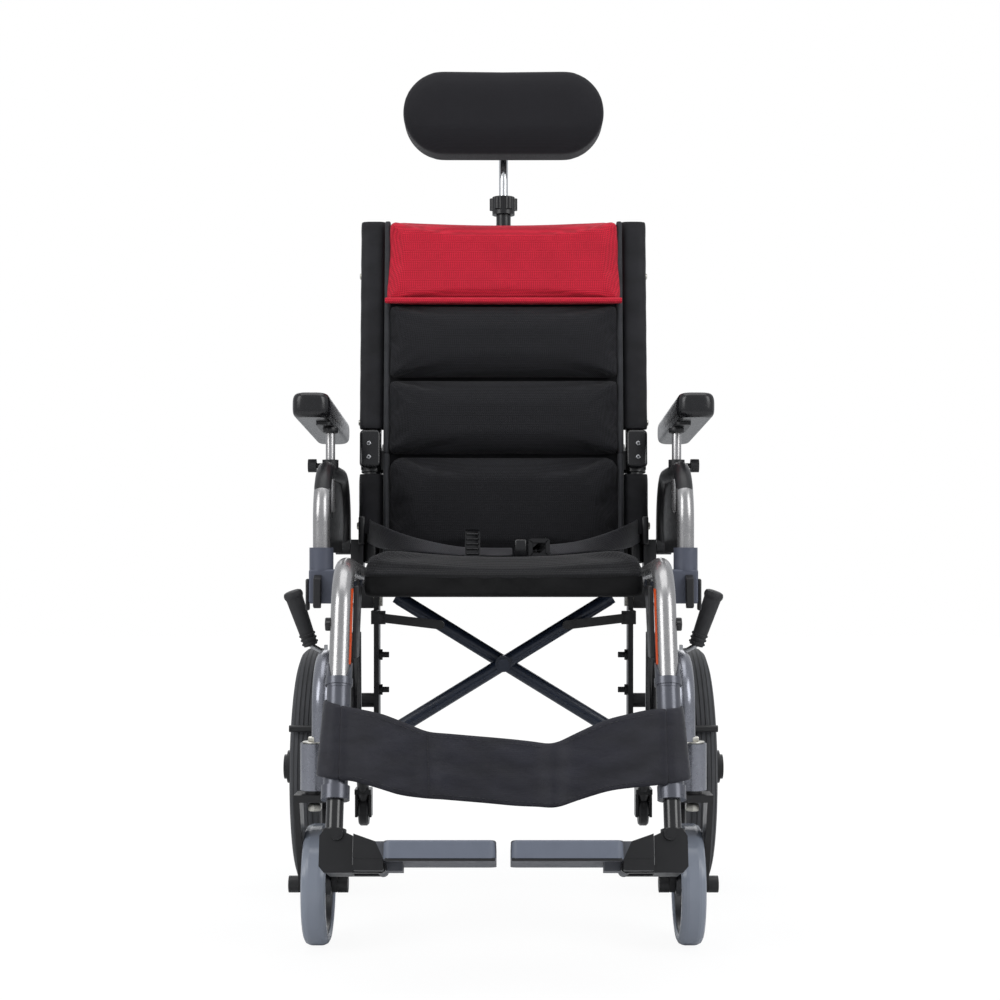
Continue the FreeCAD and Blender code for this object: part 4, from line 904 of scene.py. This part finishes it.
# %% Headrest
HEAD_Z = 1.1385
HEAD_Y = 0.232
HEAD_HALF_DEEP = 0.029
HEAD_RUN = 0.0875       # how far the round ends are moved out from the middle
FRONT_STEPS = ((0.004, 0.0016), (0.006, 0.0030), (0.009, 0.0034), (0.014, 0.0022))
REAR_STEPS = ((0.004, 0.0014), (0.006, 0.0020), (0.010, 0.0016))
head_pad = start("cylinder", "headrest_cushion", vertices=96, radius=0.0605, depth=2 * HEAD_HALF_DEEP,
                 location=(0, HEAD_Y, HEAD_Z), rotation=(math.radians(90), 0, 0))


def draw_out(p):
    """Move the two ends of the round block apart, which leaves a long oval."""
    return Vector((p.x + math.copysign(HEAD_RUN, p.x) if abs(p.x) > 1e-6 else p.x, p.y, p.z))


reshape(head_pad, draw_out)
for y_face, outset, steps in ((HEAD_Y - HEAD_HALF_DEEP, -1, FRONT_STEPS),
                              (HEAD_Y + HEAD_HALF_DEEP, 1, REAR_STEPS)):
    choose(head_pad, "FACE", lambda m, n, y=y_face: abs(m.y - y) < 1e-4 and abs(n.y) > 0.9)
    for inset, rise in steps:
        bpy.ops.mesh.inset(thickness=inset, depth=0)
        bpy.ops.transform.translate(value=(0, outset * rise, 0))
    done_editing()
bevel_edges(head_pad, 0.0035, 3, lambda m, d: abs(abs(m.y - HEAD_Y) - HEAD_HALF_DEEP) < 1e-4)
modify(head_pad, "REMESH", mode="VOXEL", voxel_size=0.004)
modify(head_pad, "SMOOTH", factor=0.5, iterations=8)
modify(head_pad, "SUBSURF", levels=1, render_levels=1)


def head_form(p):
    """Roll the lower front edge more than the upper one, and dip the top line a touch."""
    low = max(0.0, (HEAD_Z - 0.022 - p.z) / 0.0405)
    front = max(0.0, (HEAD_Y - p.y) / 0.035)
    dip = 0.0012 * max(0, 1 - abs(p.x) / 0.10) * max(0, (p.z - HEAD_Z) / 0.06)
    return Vector((p.x, p.y + 0.009 * low ** 1.6 * front, p.z - dip))


reshape(head_pad, head_form)
finish_piece(smooth(head_pad, 180), head_cloth, "headrest", ["headrest_pad"])
print("headrest", len(head_pad.data.polygons), "faces")

# %% [markdown]
# ## Painting the CAD nodes
# Tubes, brackets and springs keep their CAD form and get a real finish. Where a node holds two
# finishes, such as a lever with a plastic grip, its faces are told apart by where they are.

# %% Node painting helper
def paint_node(node, finish, *regions):
    """Give a CAD node one finish, and others to the faces whose middle passes a test."""
    shown = nodes[node]
    shown.data.materials.clear()
    shown.data.materials.append(finish)
    for material, _ in regions:
        shown.data.materials.append(material)
    for face in shown.data.polygons:
        face.material_index = 0
        for k, (_, test) in enumerate(regions):
            if test(face.center):
                face.material_index = k + 1
                break
    return shown


print("node painting ready")

# %% [markdown]
# ## Base and wheels
# The base tubes take the silver paint made darker, as painted shade, and their bolts are zinc, apart
# from those on the inner side of the upright. A castor is a dark hub in a blue-grey tyre, in a black
# fork.

# %% Finishes of the base
CASTOR_X = 0.231
CASTOR_AXLE = (-0.180, 0.075)       # depth and height
HUB_RADIUS = 0.0600
LINK_PIN_Z = 0.403
GRIP_FROM = 0.361                   # height where the brake lever's grip starts


def black_bolt(c):
    """The bolts on the inner side of the upright, and the pin of the link."""
    return (abs(c.x) < 0.1765 and 0.28 < c.z < 0.37) or abs(c.z - LINK_PIN_Z) < 0.009


def axle_nut(c):
    """The nuts of the castor's axle, outside the fork's blades."""
    return c.z < 0.087 and abs(c.y - CASTOR_AXLE[0]) < 0.0112 and abs(abs(c.x) - CASTOR_X) > 0.0239


def in_hub(c):
    """The part of the castor inside its tyre."""
    return math.hypot(c.y - CASTOR_AXLE[0], c.z - CASTOR_AXLE[1]) < HUB_RADIUS


for side in ("left", "right"):
    paint_node("base_frame_" + side, shaded_silver_coat)
    paint_node("base_bracket_" + side, black_coat)
    paint_node("base_hardware_" + side, zinc, (black_coat, black_bolt))
    paint_node("castor_fork_" + side, black_coat, (black_plastic, axle_nut))
    paint_node("castor_wheel_" + side, castor_rubber, (castor_hub, in_hub))
    paint_node("rear_tyre_" + side, tyre_rubber)
    paint_node("brake_lever_" + side, steel_blade, (grip_rubber, lambda c: c.z > GRIP_FROM))
    for name in ("rear_axle_", "rear_wheel_", "anti_tipper_wheel_"):
        paint_node(name + side, black_plastic)
    for name in ("brake_shoe_", "anti_tipper_", "brace_link_"):
        paint_node(name + side, black_coat)
for name in ("brace_front", "brace_rear"):
    paint_node(name, brace_coat)
print("base painted")

# %% [markdown]
# ## Seat, legs and back
# The seat and arm tubes are silver, and what is bolted to them is black. The footplates have a
# paler front edge.

# %% Finishes of the seat, legs and back
PLATE_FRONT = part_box("footplate_left")[0][1]
BRACKET_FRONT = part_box("footrest_bracket_left")[0][1]
LEG_X = 0.186                       # the bolt at the front of the footrest bracket
ARM_PLUG_X = 0.2465                 # outside it lies the knob that sets the arm's height


def inner_lug(c):
    """The lug under the front of the seat tube, on its inner side."""
    return abs(c.x) < 0.1791 and c.z < 0.452 and c.y < -0.2


def tilt_ear(c):
    """The ears below the seat tube that the tilt pin goes through."""
    return c.z < 0.4485 and c.y > -0.2


def bracket_bolt(c):
    """The bolt head on the front of the footrest bracket."""
    return c.y < BRACKET_FRONT + 0.0062 and abs(abs(c.x) - LEG_X) < 0.009


def side_panel(c):
    """The parts of the arm socket in front of and behind the tube it clamps."""
    return (c.y < -0.1232 and c.z < 0.4625) or c.y > 0


def arm_black(c):
    """The arm tube's sleeve above, its rear run and its knob."""
    return c.z > 0.572 or c.y > -0.080 or abs(c.x) > ARM_PLUG_X


for side in ("left", "right"):
    paint_node("seat_frame_" + side, silver_coat, (black_plastic, inner_lug), (black_coat, tilt_ear))
    paint_node("leg_tube_" + side, leg_coat)
    paint_node("footrest_bracket_" + side, black_coat, (gas_black, lambda c: c.z > 0.185),
               (zinc, bracket_bolt))
    paint_node("footplate_" + side, plate_plastic, (black_coat, lambda c: abs(c.x) > 0.137),
               (plate_edge, lambda c: c.y < PLATE_FRONT + 0.007 and c.z > 0.15))
    paint_node("gas_spring_body_" + side, gas_black)
    paint_node("gas_spring_rod_" + side, chrome)
    paint_node("lower_cane_" + side, black_coat)
    paint_node("upper_cane_" + side, black_coat, (grip_rubber, lambda c: c.y > 0.277 and c.z > 0.93))
    paint_node("arm_socket_" + side, socket_painted_light, (black_plastic, side_panel))
    paint_node("arm_frame_" + side, silver_coat, (black_plastic, arm_black))
for name in ("headrest_bar", "headrest_knob"):
    paint_node(name, black_coat)
paint_node("headrest_stem", chrome)
print("painted", sum(1 for n in nodes.values() if n.data.materials))

# %% [markdown]
# ## Strap tools
# A strap is a grid of stations. Each station runs across the webbing, and a smooth curve joins
# the stations, so a band can sag, turn over and wrap round a tube as woven tape does.

# %% Strap helpers
def flowing(stations, count):
    """Join rows of numbers by a smooth curve and sample it count times."""
    s = np.array([stations[0], *stations, stations[-1]], float)
    rows = []
    for t in np.linspace(0, len(stations) - 1, count):
        k = min(int(t), len(stations) - 2)
        u = t - k
        a, b, c, d = s[k:k + 4]
        rows.append(0.5 * (2 * b + (c - a) * u + (2 * a - 5 * b + 4 * c - d) * u ** 2
                           + (3 * b - a - 3 * c + d) * u ** 3))
    return rows


def level(stations, x):
    """A height read off a few stations, rounded over about two centimetres."""
    xs, zs = zip(*stations)
    return sum(float(np.interp(x + d, xs, zs)) for d in (-0.010, -0.005, 0, 0.005, 0.010)) / 5


def stitches(name, path, body, material, pitch=0.004, radius=0.0004):
    """A row of short raised threads along a path of points."""
    points = [Vector(p) for p in path]
    laid = []
    for a, b in zip(points, points[1:]):
        steps = max(1, round((b - a).length / pitch))
        for k in range(steps):
            near, far = (a.lerp(b, (k + share) / steps) for share in (0.2, 0.8))
            laid.append(rod_between(name, near, far, radius, 6))
    made = join(name, *laid)
    return finish_piece(made, material, body)


print("strap helpers ready")

# %% [markdown]
# ## Calf strap
# A broad nylon band holds the calves. It lies flat in front of the legs, sags and folds a little
# between them, and its two ends wrap round the leg tubes.

# %% Calf strap
STRAP_TOP = [(-0.209, 0.3183), (-0.1407, 0.302), (-0.0883, 0.2807), (0.0188, 0.2716), (0.0575, 0.267),
             (0.120, 0.2955), (0.1714, 0.3086), (0.209, 0.3103)]
STRAP_FOOT = [(-0.209, 0.2328), (-0.176, 0.2294), (-0.1145, 0.2089), (0.0188, 0.1975), (0.061, 0.1964),
              (0.1224, 0.2157), (0.169, 0.2226), (0.209, 0.2294)]
WRAP = 0.0160           # radius at which the band turns round a leg
STRAP_HALF = 0.188      # half the length of the band between its wrapped ends


def strap_depth(x, z):
    """The band's depth: flat against the legs, bowed back between them with two soft folds."""
    share = min(1.0, abs(x) / 0.180)
    fold = 0.004 * math.exp(-((x + 0.088) / 0.012) ** 2) + 0.007 * math.exp(-((x - 0.058) / 0.014) ** 2)
    crease = 0.0011 * math.sin(z * 240 + 4 * math.sin(x * 19)) * math.sin(x * 47 + 1.3)
    return leg_y(z) - 0.0183 + 0.030 * (1 - share ** 4) - fold + crease * (1 - share ** 6)


def strap_point(s, share):
    """A point on the band: s runs along it from one wrapped end to the other, share runs up it."""
    if abs(s) <= CANE_X:
        x, turn = s, None
    else:
        turn = (abs(s) - CANE_X) / WRAP
        x = math.copysign(CANE_X + WRAP * math.sin(min(turn, math.pi / 2)), s)
    z = level(STRAP_FOOT, x) + share * (level(STRAP_TOP, x) - level(STRAP_FOOT, x))
    if turn is None:
        return (x, strap_depth(x, z), z)
    flare = 0.0080 * (1 - share) * math.sin(min(turn, math.pi / 2)) ** 2 * max(0.0, math.cos(turn / 2))
    x = math.copysign(CANE_X + (WRAP + flare) * math.sin(turn), s)
    return (x, leg_y(z) - (WRAP + 0.0023) * math.cos(turn), z)


def strap_piece(name, body, start_at, end_at, steps, stands_for=()):
    """One stretch of the band, from one place along it to another."""
    rows = [[strap_point(s, k / 10) for k in range(11)] for s in np.linspace(start_at, end_at, steps)]
    made = finish_piece(ribbon(name, rows, 0.0026), strap_cloth, body, stands_for)
    return made


END = CANE_X + WRAP * math.radians(215)
OVERLAP = STRAP_HALF - 0.001
strap = strap_piece("calf_strap_band", "seat_left", -STRAP_HALF, STRAP_HALF, 84,
                    ["calf_strap"])
squash_between(strap)
strap_piece("calf_strap_wrap_left", "seat_left", -END, -OVERLAP, 24)
strap_piece("calf_strap_wrap_right", "seat_right", OVERLAP, END, 24)
print("calf strap", len(strap.data.polygons), "faces")

# %% [markdown]
# ## Stitching of the calf strap
# One seam runs up the band left of its middle, and a row of stitches runs along each hem.

# %% Stitching
SEAM_X = -0.0885
seam = [Vector(strap_point(SEAM_X + 0.0035 * k / 12, 1 - k / 12)) + Vector((0, -0.0016, 0))
        for k in range(13)]
squash_between(stitches("calf_strap_seam", seam, "seat_left", piping_cloth))
for name, share in (("calf_strap_hem_upper", 0.93), ("calf_strap_hem_lower", 0.07)):
    hem = [Vector(strap_point(x, share)) + Vector((0, -0.0015, 0)) for x in np.linspace(-0.186, 0.186, 30)]
    squash_between(stitches(name, hem, "seat_left", piping_cloth, 0.006))
print("seam and hems stitched")

# %% [markdown]
# ## Lap belt
# The belt is fixed to the canes and lies on the cushion in two halves. Each half is twisted a
# little where it turns from the side of the seat to its top.

# %% Lap belt
BELT_END = 0.2045


def belt_half(side, name, *ends):
    """Webbing from the front of a back cane, down beside the hips and over the cushion.

    A station holds the lower edge's x, y, z and the way from it to the upper edge, in y and z."""
    run = [(BELT_END, cane_y(0.525) - 0.0080, 0.507, 0.004, 0.036),
           (0.1960, cane_y(0.525) - 0.0165, 0.504, 0.004, 0.036),
           (0.176, 0.122, 0.4965, 0.008, 0.034),
           (0.140, 0.060, 0.4925, 0.020, 0.024), *ends]
    rows = []
    for x, y, z, back, up in flowing(run, 54):
        rows.append([(side * x, y + back * k, z + up * k) for k in np.linspace(0, 1, 7)])
    return ribbon(name, rows, 0.0022)


belt_left = belt_half(-1, "lap_belt_left", (0.098, 0.004, 0.489, 0.030, 0.016),
                      (0.058, -0.038, 0.4865, 0.032, 0.011), (0.022, -0.043, 0.4860, 0.032, 0.010),
                      (-0.012, -0.043, 0.4860, 0.032, 0.010))
belt_right = belt_half(1, "lap_belt_right", (0.098, -0.002, 0.489, 0.030, 0.016),
                       (0.060, -0.041, 0.4865, 0.031, 0.014))
for belt, length in ((belt_left, 0.293), (belt_right, 0.224)):
    finish_piece(belt, belt_web, "seat_pad", ["lap_belt"])
    squash_between(belt)
    print(belt.name, len(belt.data.polygons), "faces")

# %% [markdown]
# ## Buckle
# A ribbed slide shortens the belt, and the halves meet in a plastic side-release buckle.

# %% Buckle
adjuster = block("belt_adjuster", (-0.051, -0.048, 0.4815), (-0.031, -0.039, 0.5205))
bevel_edges(adjuster, 0.003, 3, lambda m, d: abs(d.y) > 0.9)
choose(adjuster, "FACE", lambda m, n: n.y < -0.9)
bpy.ops.mesh.inset(thickness=0.0025, depth=-0.001)
done_editing()
bars = [adjuster]
for k in range(5):
    z = 0.488 + 0.0065 * k
    bars.append(rod_between("belt_rib", (-0.0485, -0.0480, z), (-0.0335, -0.0480, z), 0.0014, 12, 0.0005))
socket = block("belt_socket", (0.0145, -0.052, 0.4835), (0.0310, -0.037, 0.5075))
bevel_edges(socket, 0.003, 3, lambda m, d: True)
tongue = block("belt_tongue", (0.0330, -0.049, 0.4835), (0.0615, -0.040, 0.5085))
bevel_edges(tongue, 0.0035, 3, lambda m, d: abs(d.y) > 0.9)
choose(tongue, "FACE", lambda m, n: n.y < -0.9)
bpy.ops.mesh.inset(thickness=0.0055, depth=0)
bpy.ops.mesh.inset(thickness=0.0008, depth=-0.0035)
done_editing()
buckle = join("lap_belt_buckle", *bars, socket, tongue)
finish_piece(smooth(buckle, 35), gloss_black, "seat_pad")
squash_between(buckle)
print("buckle", len(buckle.data.polygons), "faces")

# %% [markdown]
# ## Arm pads
# The pads are self-skinned foam, a long rounded bar that falls a little to the rear.

# %% Arm pads
FALL = math.tan(math.radians(2.8))
PAD_FRONT_Y = -0.070
pad = block("arm_cushion", (-0.279, PAD_FRONT_Y, 0.668), (-0.229, 0.255, 0.702))
bevel_edges(pad, 0.015, 5, lambda m, d: abs(d.z) > 0.9)
bevel_edges(pad, 0.009, 5, lambda m, d: m.z > 0.7019)
bevel_edges(pad, 0.006, 3, lambda m, d: m.z < 0.6681)
modify(pad, "REMESH", mode="VOXEL", voxel_size=0.004)
modify(pad, "SMOOTH", factor=0.5, iterations=4)
modify(pad, "SUBSURF", levels=1, render_levels=1)
reshape(pad, lambda p: Vector((p.x, p.y, p.z - (p.y - PAD_FRONT_Y) * FALL)))
for made in both_sides(smooth(pad, 180), "arm_cushion", pad_foam, "arm_pad", ["arm_pad"]):
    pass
print("arm pads", len(pad.data.polygons), "faces each")

# %% [markdown]
# ## Arm posts
# Each arm pad sits on a plate and a post that slides in the arm tube.

# %% Arm posts
POST_X = -0.235
POST_Y = 0.010
POST_TOP = 0.6600
post = rod_between("arm_post", (POST_X, POST_Y, 0.545), (POST_X, POST_Y, POST_TOP), 0.00635, 32, 0.001)
both_sides(post, "arm_post", silver_coat, "arm_pad")
foot = block("arm_foot", (-0.252, -0.020, POST_TOP), (-0.231, 0.070, 0.6640))
bevel_edges(foot, 0.006, 3, lambda m, d: abs(d.z) > 0.9)
cap = rod_between("arm_cap", (POST_X, POST_Y, 0.6520), (POST_X, POST_Y, POST_TOP), 0.0105, 32, 0.002)
foot = reshape(join("arm_foot", foot, cap), lambda p: Vector((p.x, p.y, p.z - (p.y - POST_Y) * FALL)))
both_sides(smooth(foot, 35), "arm_foot", black_plastic, "arm_pad")
print("arm posts and plates")

# %% [markdown]
# ## Screws
# A screw head is a short cylinder with a domed edge and a six-sided socket cut into it. Two of
# them hold each upper sleeve.

# %% Screws
def screw(name, centre, way, radius, high, material, body, recess=True):
    """A domed screw head that stands along way, with a hexagon socket sunk in it."""
    head = start("cylinder", name, vertices=32, radius=radius, depth=high)
    bevel_edges(head, high * 0.45, 3, lambda m, d: abs(m.z - high / 2) < 1e-5)
    if recess:
        hole = start("cylinder", name + "_tool", vertices=6, radius=radius * 0.45, depth=high)
        reshape(hole, lambda p: p + Vector((0, 0, high * 0.55)))
        modify(head, "BOOLEAN", operation="DIFFERENCE", object=hole, solver="EXACT")
        bpy.data.objects.remove(hole)
    turn = Vector(way).normalized().to_track_quat("Z", "Y")
    place = Vector(centre)
    reshape(head, lambda p: turn @ p + place)
    return both_sides(smooth(head, 35), name, material, body)


for name, z in (("sleeve_screw_low", 0.682), ("sleeve_screw_high", 0.901)):
    screw(name, (-0.2110, cane_y(z), z), (-1, 0, 0), 0.0048, 0.0045, zinc, "upper_back")
print("sleeve screws in")

# %% [markdown]
# ## Hinge housings
# The half-fold hinges sit in rounded black housings, each with two small screws in front. Below
# them a clamp with a larger screw holds the belt.

# %% Hinge housings
housing = block("hinge_housing", (-0.2095, -0.0275, 0.6150), (-0.1790, -0.0150, 0.6700))
bevel_edges(housing, 0.006, 4, lambda m, d: abs(d.y) > 0.9)
bevel_edges(housing, 0.004, 4, lambda m, d: m.y < -0.0274)
reshape(housing, lambda p: Vector((p.x, p.y + cane_y(p.z), p.z)))
both_sides(smooth(housing, 35), "hinge_housing", gloss_black, "seat")
for name, z in (("housing_screw_low", 0.6300), ("housing_screw_high", 0.6500)):
    screw(name, (-0.1960, cane_y(z) - 0.0272, z), (0, -1, LEAN), 0.0034, 0.0024, steel_blade, "seat")

clamp = block("cane_clamp", (-0.2110, -0.0190, 0.5020), (-0.2010, 0.0130, 0.5440))
bevel_edges(clamp, 0.003, 3, lambda m, d: True)
reshape(clamp, lambda p: Vector((p.x, p.y + cane_y(p.z), p.z)))
both_sides(smooth(clamp, 35), "cane_clamp", black_plastic, "seat")
screw("cane_clamp_screw", (-0.212, cane_y(0.53), 0.530), (-1, 0, 0), 0.0058, 0.005, zinc, "seat")
print("housings and clamps")

# %% [markdown]
# ## Knobs and levers
# A lobed hand knob clamps each leg tube, and a small lever releases each arm.

# %% Knobs and levers
def lobed_knob(name, centre, way, radius, high, lobes, material, body):
    """A hand knob with soft lobes round its rim."""
    knob = start("cylinder", name, vertices=lobes * 8, radius=radius, depth=high)
    bevel_edges(knob, high * 0.2, 3, lambda m, d: abs(abs(m.z) - high / 2) < 1e-5)
    turn = Vector(way).normalized().to_track_quat("Z", "Y")
    place = Vector(centre)

    def shape(p):
        grow = 1 + 0.09 * math.cos(lobes * math.atan2(p.y, p.x))
        return turn @ Vector((p.x * grow, p.y * grow, p.z)) + place

    reshape(knob, shape)
    return both_sides(smooth(knob, 40), name, material, body)


lobed_knob("leg_clamp_knob", (-0.2075, LEG_TOP[0] + 0.004, LEG_TOP[1]), (-1, 0, 0), 0.0075, 0.007, 5,
           gloss_black, "seat")
lever = block("arm_release", (-0.2545, -0.1200, 0.4150), (-0.2495, -0.1080, 0.4560))
bevel_edges(lever, 0.0025, 3, lambda m, d: True)
both_sides(smooth(lever, 35), "arm_release", black_plastic, "seat")
print("knobs and levers")

# %% [markdown]
# ## Leg stripe
# An orange line runs down the inner side of each seat tube, from the bend to the leg.

# %% Leg trim
BEND_START = 0.428


def leg_line(z):
    """The inner side of the bent seat tube, in depth, from the leg up into the bend."""
    return leg_y(z) + 7.8 * max(0.0, z - BEND_START) ** 2


stripe_rows = []
for z in np.linspace(0.358, 0.446, 24):
    stripe_rows.append([(-CANE_X + 0.0131 * math.cos(a), leg_line(z) - 0.0137 * math.sin(a), z)
                        for a in (0.10, 0.20, 0.30, 0.40, 0.50)])
stripe = ribbon("leg_stripe", stripe_rows, 0.0006, 0)
both_sides(stripe, "leg_stripe", orange_trim, "seat")
print("leg stripes")

# %% [markdown]
# ## Castor nuts
# Each castor's stem has a washer and a bolt head above its bearing and a nut below it.

# %% Castor nuts
STEM_Y = -0.225
STEM_PARTS = (("castor_washer_top", 0.2572, 0.0150, 0.0020), ("castor_bolt_head", 0.2610, 0.0090, 0.0060),
              ("castor_nut_low", 0.1775, 0.0090, 0.0100))
for name, z, radius, high in STEM_PARTS:
    nut = start("cylinder", name, vertices=40 if "washer" in name else 6, radius=radius, depth=high,
                location=(-CASTOR_X, STEM_Y, z))
    bevel_edges(nut, high * 0.25, 2, lambda m, d: abs(d.z) < 0.5)
    both_sides(smooth(nut, 35), name, zinc, "base")
print("castor nuts")

# %% [markdown]
# ## Leg collar
# Where the silver tube meets the grey leg, a thin collar has a scalloped upper edge.

# %% Leg collar
COLLAR_LOW = 0.3345
COLLAR_FRONT = 0.3400


def scallop_top(turn):
    """The collar's upper edge: low in front, so the silver tube ends in a rounded tongue."""
    return COLLAR_FRONT + 0.0190 * min(1.0, (turn / math.radians(78)) ** 2)


rows = []
for turn in np.linspace(-math.pi, math.pi, 49):
    way = Vector((math.sin(turn), -math.cos(turn)))
    rows.append([(-CANE_X + 0.0139 * way.x, leg_y(z) + 0.0148 * way.y, z)
                 for z in np.linspace(COLLAR_LOW, scallop_top(turn), 5)])
collar = ribbon("leg_scallop", rows, 0.0018, 0)
both_sides(collar, "leg_scallop", leg_coat, "seat")
print("leg scallops")

# %% [markdown]
# ## Brake grips
# The rubber grip of each brake lever flares at its top and has three ribs at its foot.

# %% Brake grips
GRIP_LOW = Vector((-0.2626, 0.020, 0.364))
GRIP_TOP = Vector((-0.2866, 0.010, 0.436))
way = (GRIP_TOP - GRIP_LOW).normalized()
flare = rod_between("brake_grip_flare", GRIP_TOP - way * 0.010, GRIP_TOP + way * 0.002, 0.0133, 32, 0.0045)
grip_parts = [flare]
for k in range(3):
    place = GRIP_LOW + way * (0.002 + 0.006 * k)
    grip_parts.append(rod_between("brake_grip_rib", place, place + way * 0.003, 0.0115, 32, 0.0012))
grip = join("brake_grip_trim", *grip_parts)
both_sides(smooth(grip, 35), "brake_grip_trim", grip_rubber, "brake_lever")
print("brake grips")

# %% [markdown]
# ## Footplate webs
# A web joins each footplate to its hinge, and a thin dark lip runs along the front edge. Both are
# drawn in the plate's own frame and then placed on the pitched plate.

# %% Footplate webs
PITCH = math.radians(15)
PLATE_FRONT_Z = 0.153


def on_plate(p):
    """A point in the footplate's own frame, its front edge at zero, placed on the pitched plate."""
    return Vector((p.x, -0.450 + p.y * math.cos(PITCH) + p.z * math.sin(PITCH),
                   PLATE_FRONT_Z - p.y * math.sin(PITCH) + p.z * math.cos(PITCH)))


web = block("plate_web", (-0.1665, 0.0145, -0.0120), (-0.1330, 0.0295, 0.0015))
bevel_edges(web, 0.0015, 2, lambda m, d: abs(d.y) > 0.9)
both_sides(smooth(reshape(web, on_plate), 35), "plate_web", black_coat, "footplate")
lip = block("plate_lip", (-0.1300, 0.0008, -0.0030), (-0.0090, 0.0030, 0.0004))
bevel_edges(lip, 0.0008, 2, lambda m, d: abs(d.x) > 0.9)
both_sides(smooth(reshape(lip, on_plate), 35), "plate_lip", black_plastic, "footplate")
print("footplate webs and lips")

# %% [markdown]
# ## End plugs
# A black plastic plug closes the rear end of each seat tube.

# %% End plugs
TUBE_END = Vector((-CANE_X, 0.205, 0.4478))
plug = rod_between("seat_tube_plug", TUBE_END - Vector((0, 0.002, 0)), TUBE_END + Vector((0, 0.004, -0.0002)),
                   0.0129, 40, 0.0015)
both_sides(plug, "seat_tube_plug", black_plastic, "seat")
print("tube ends plugged")
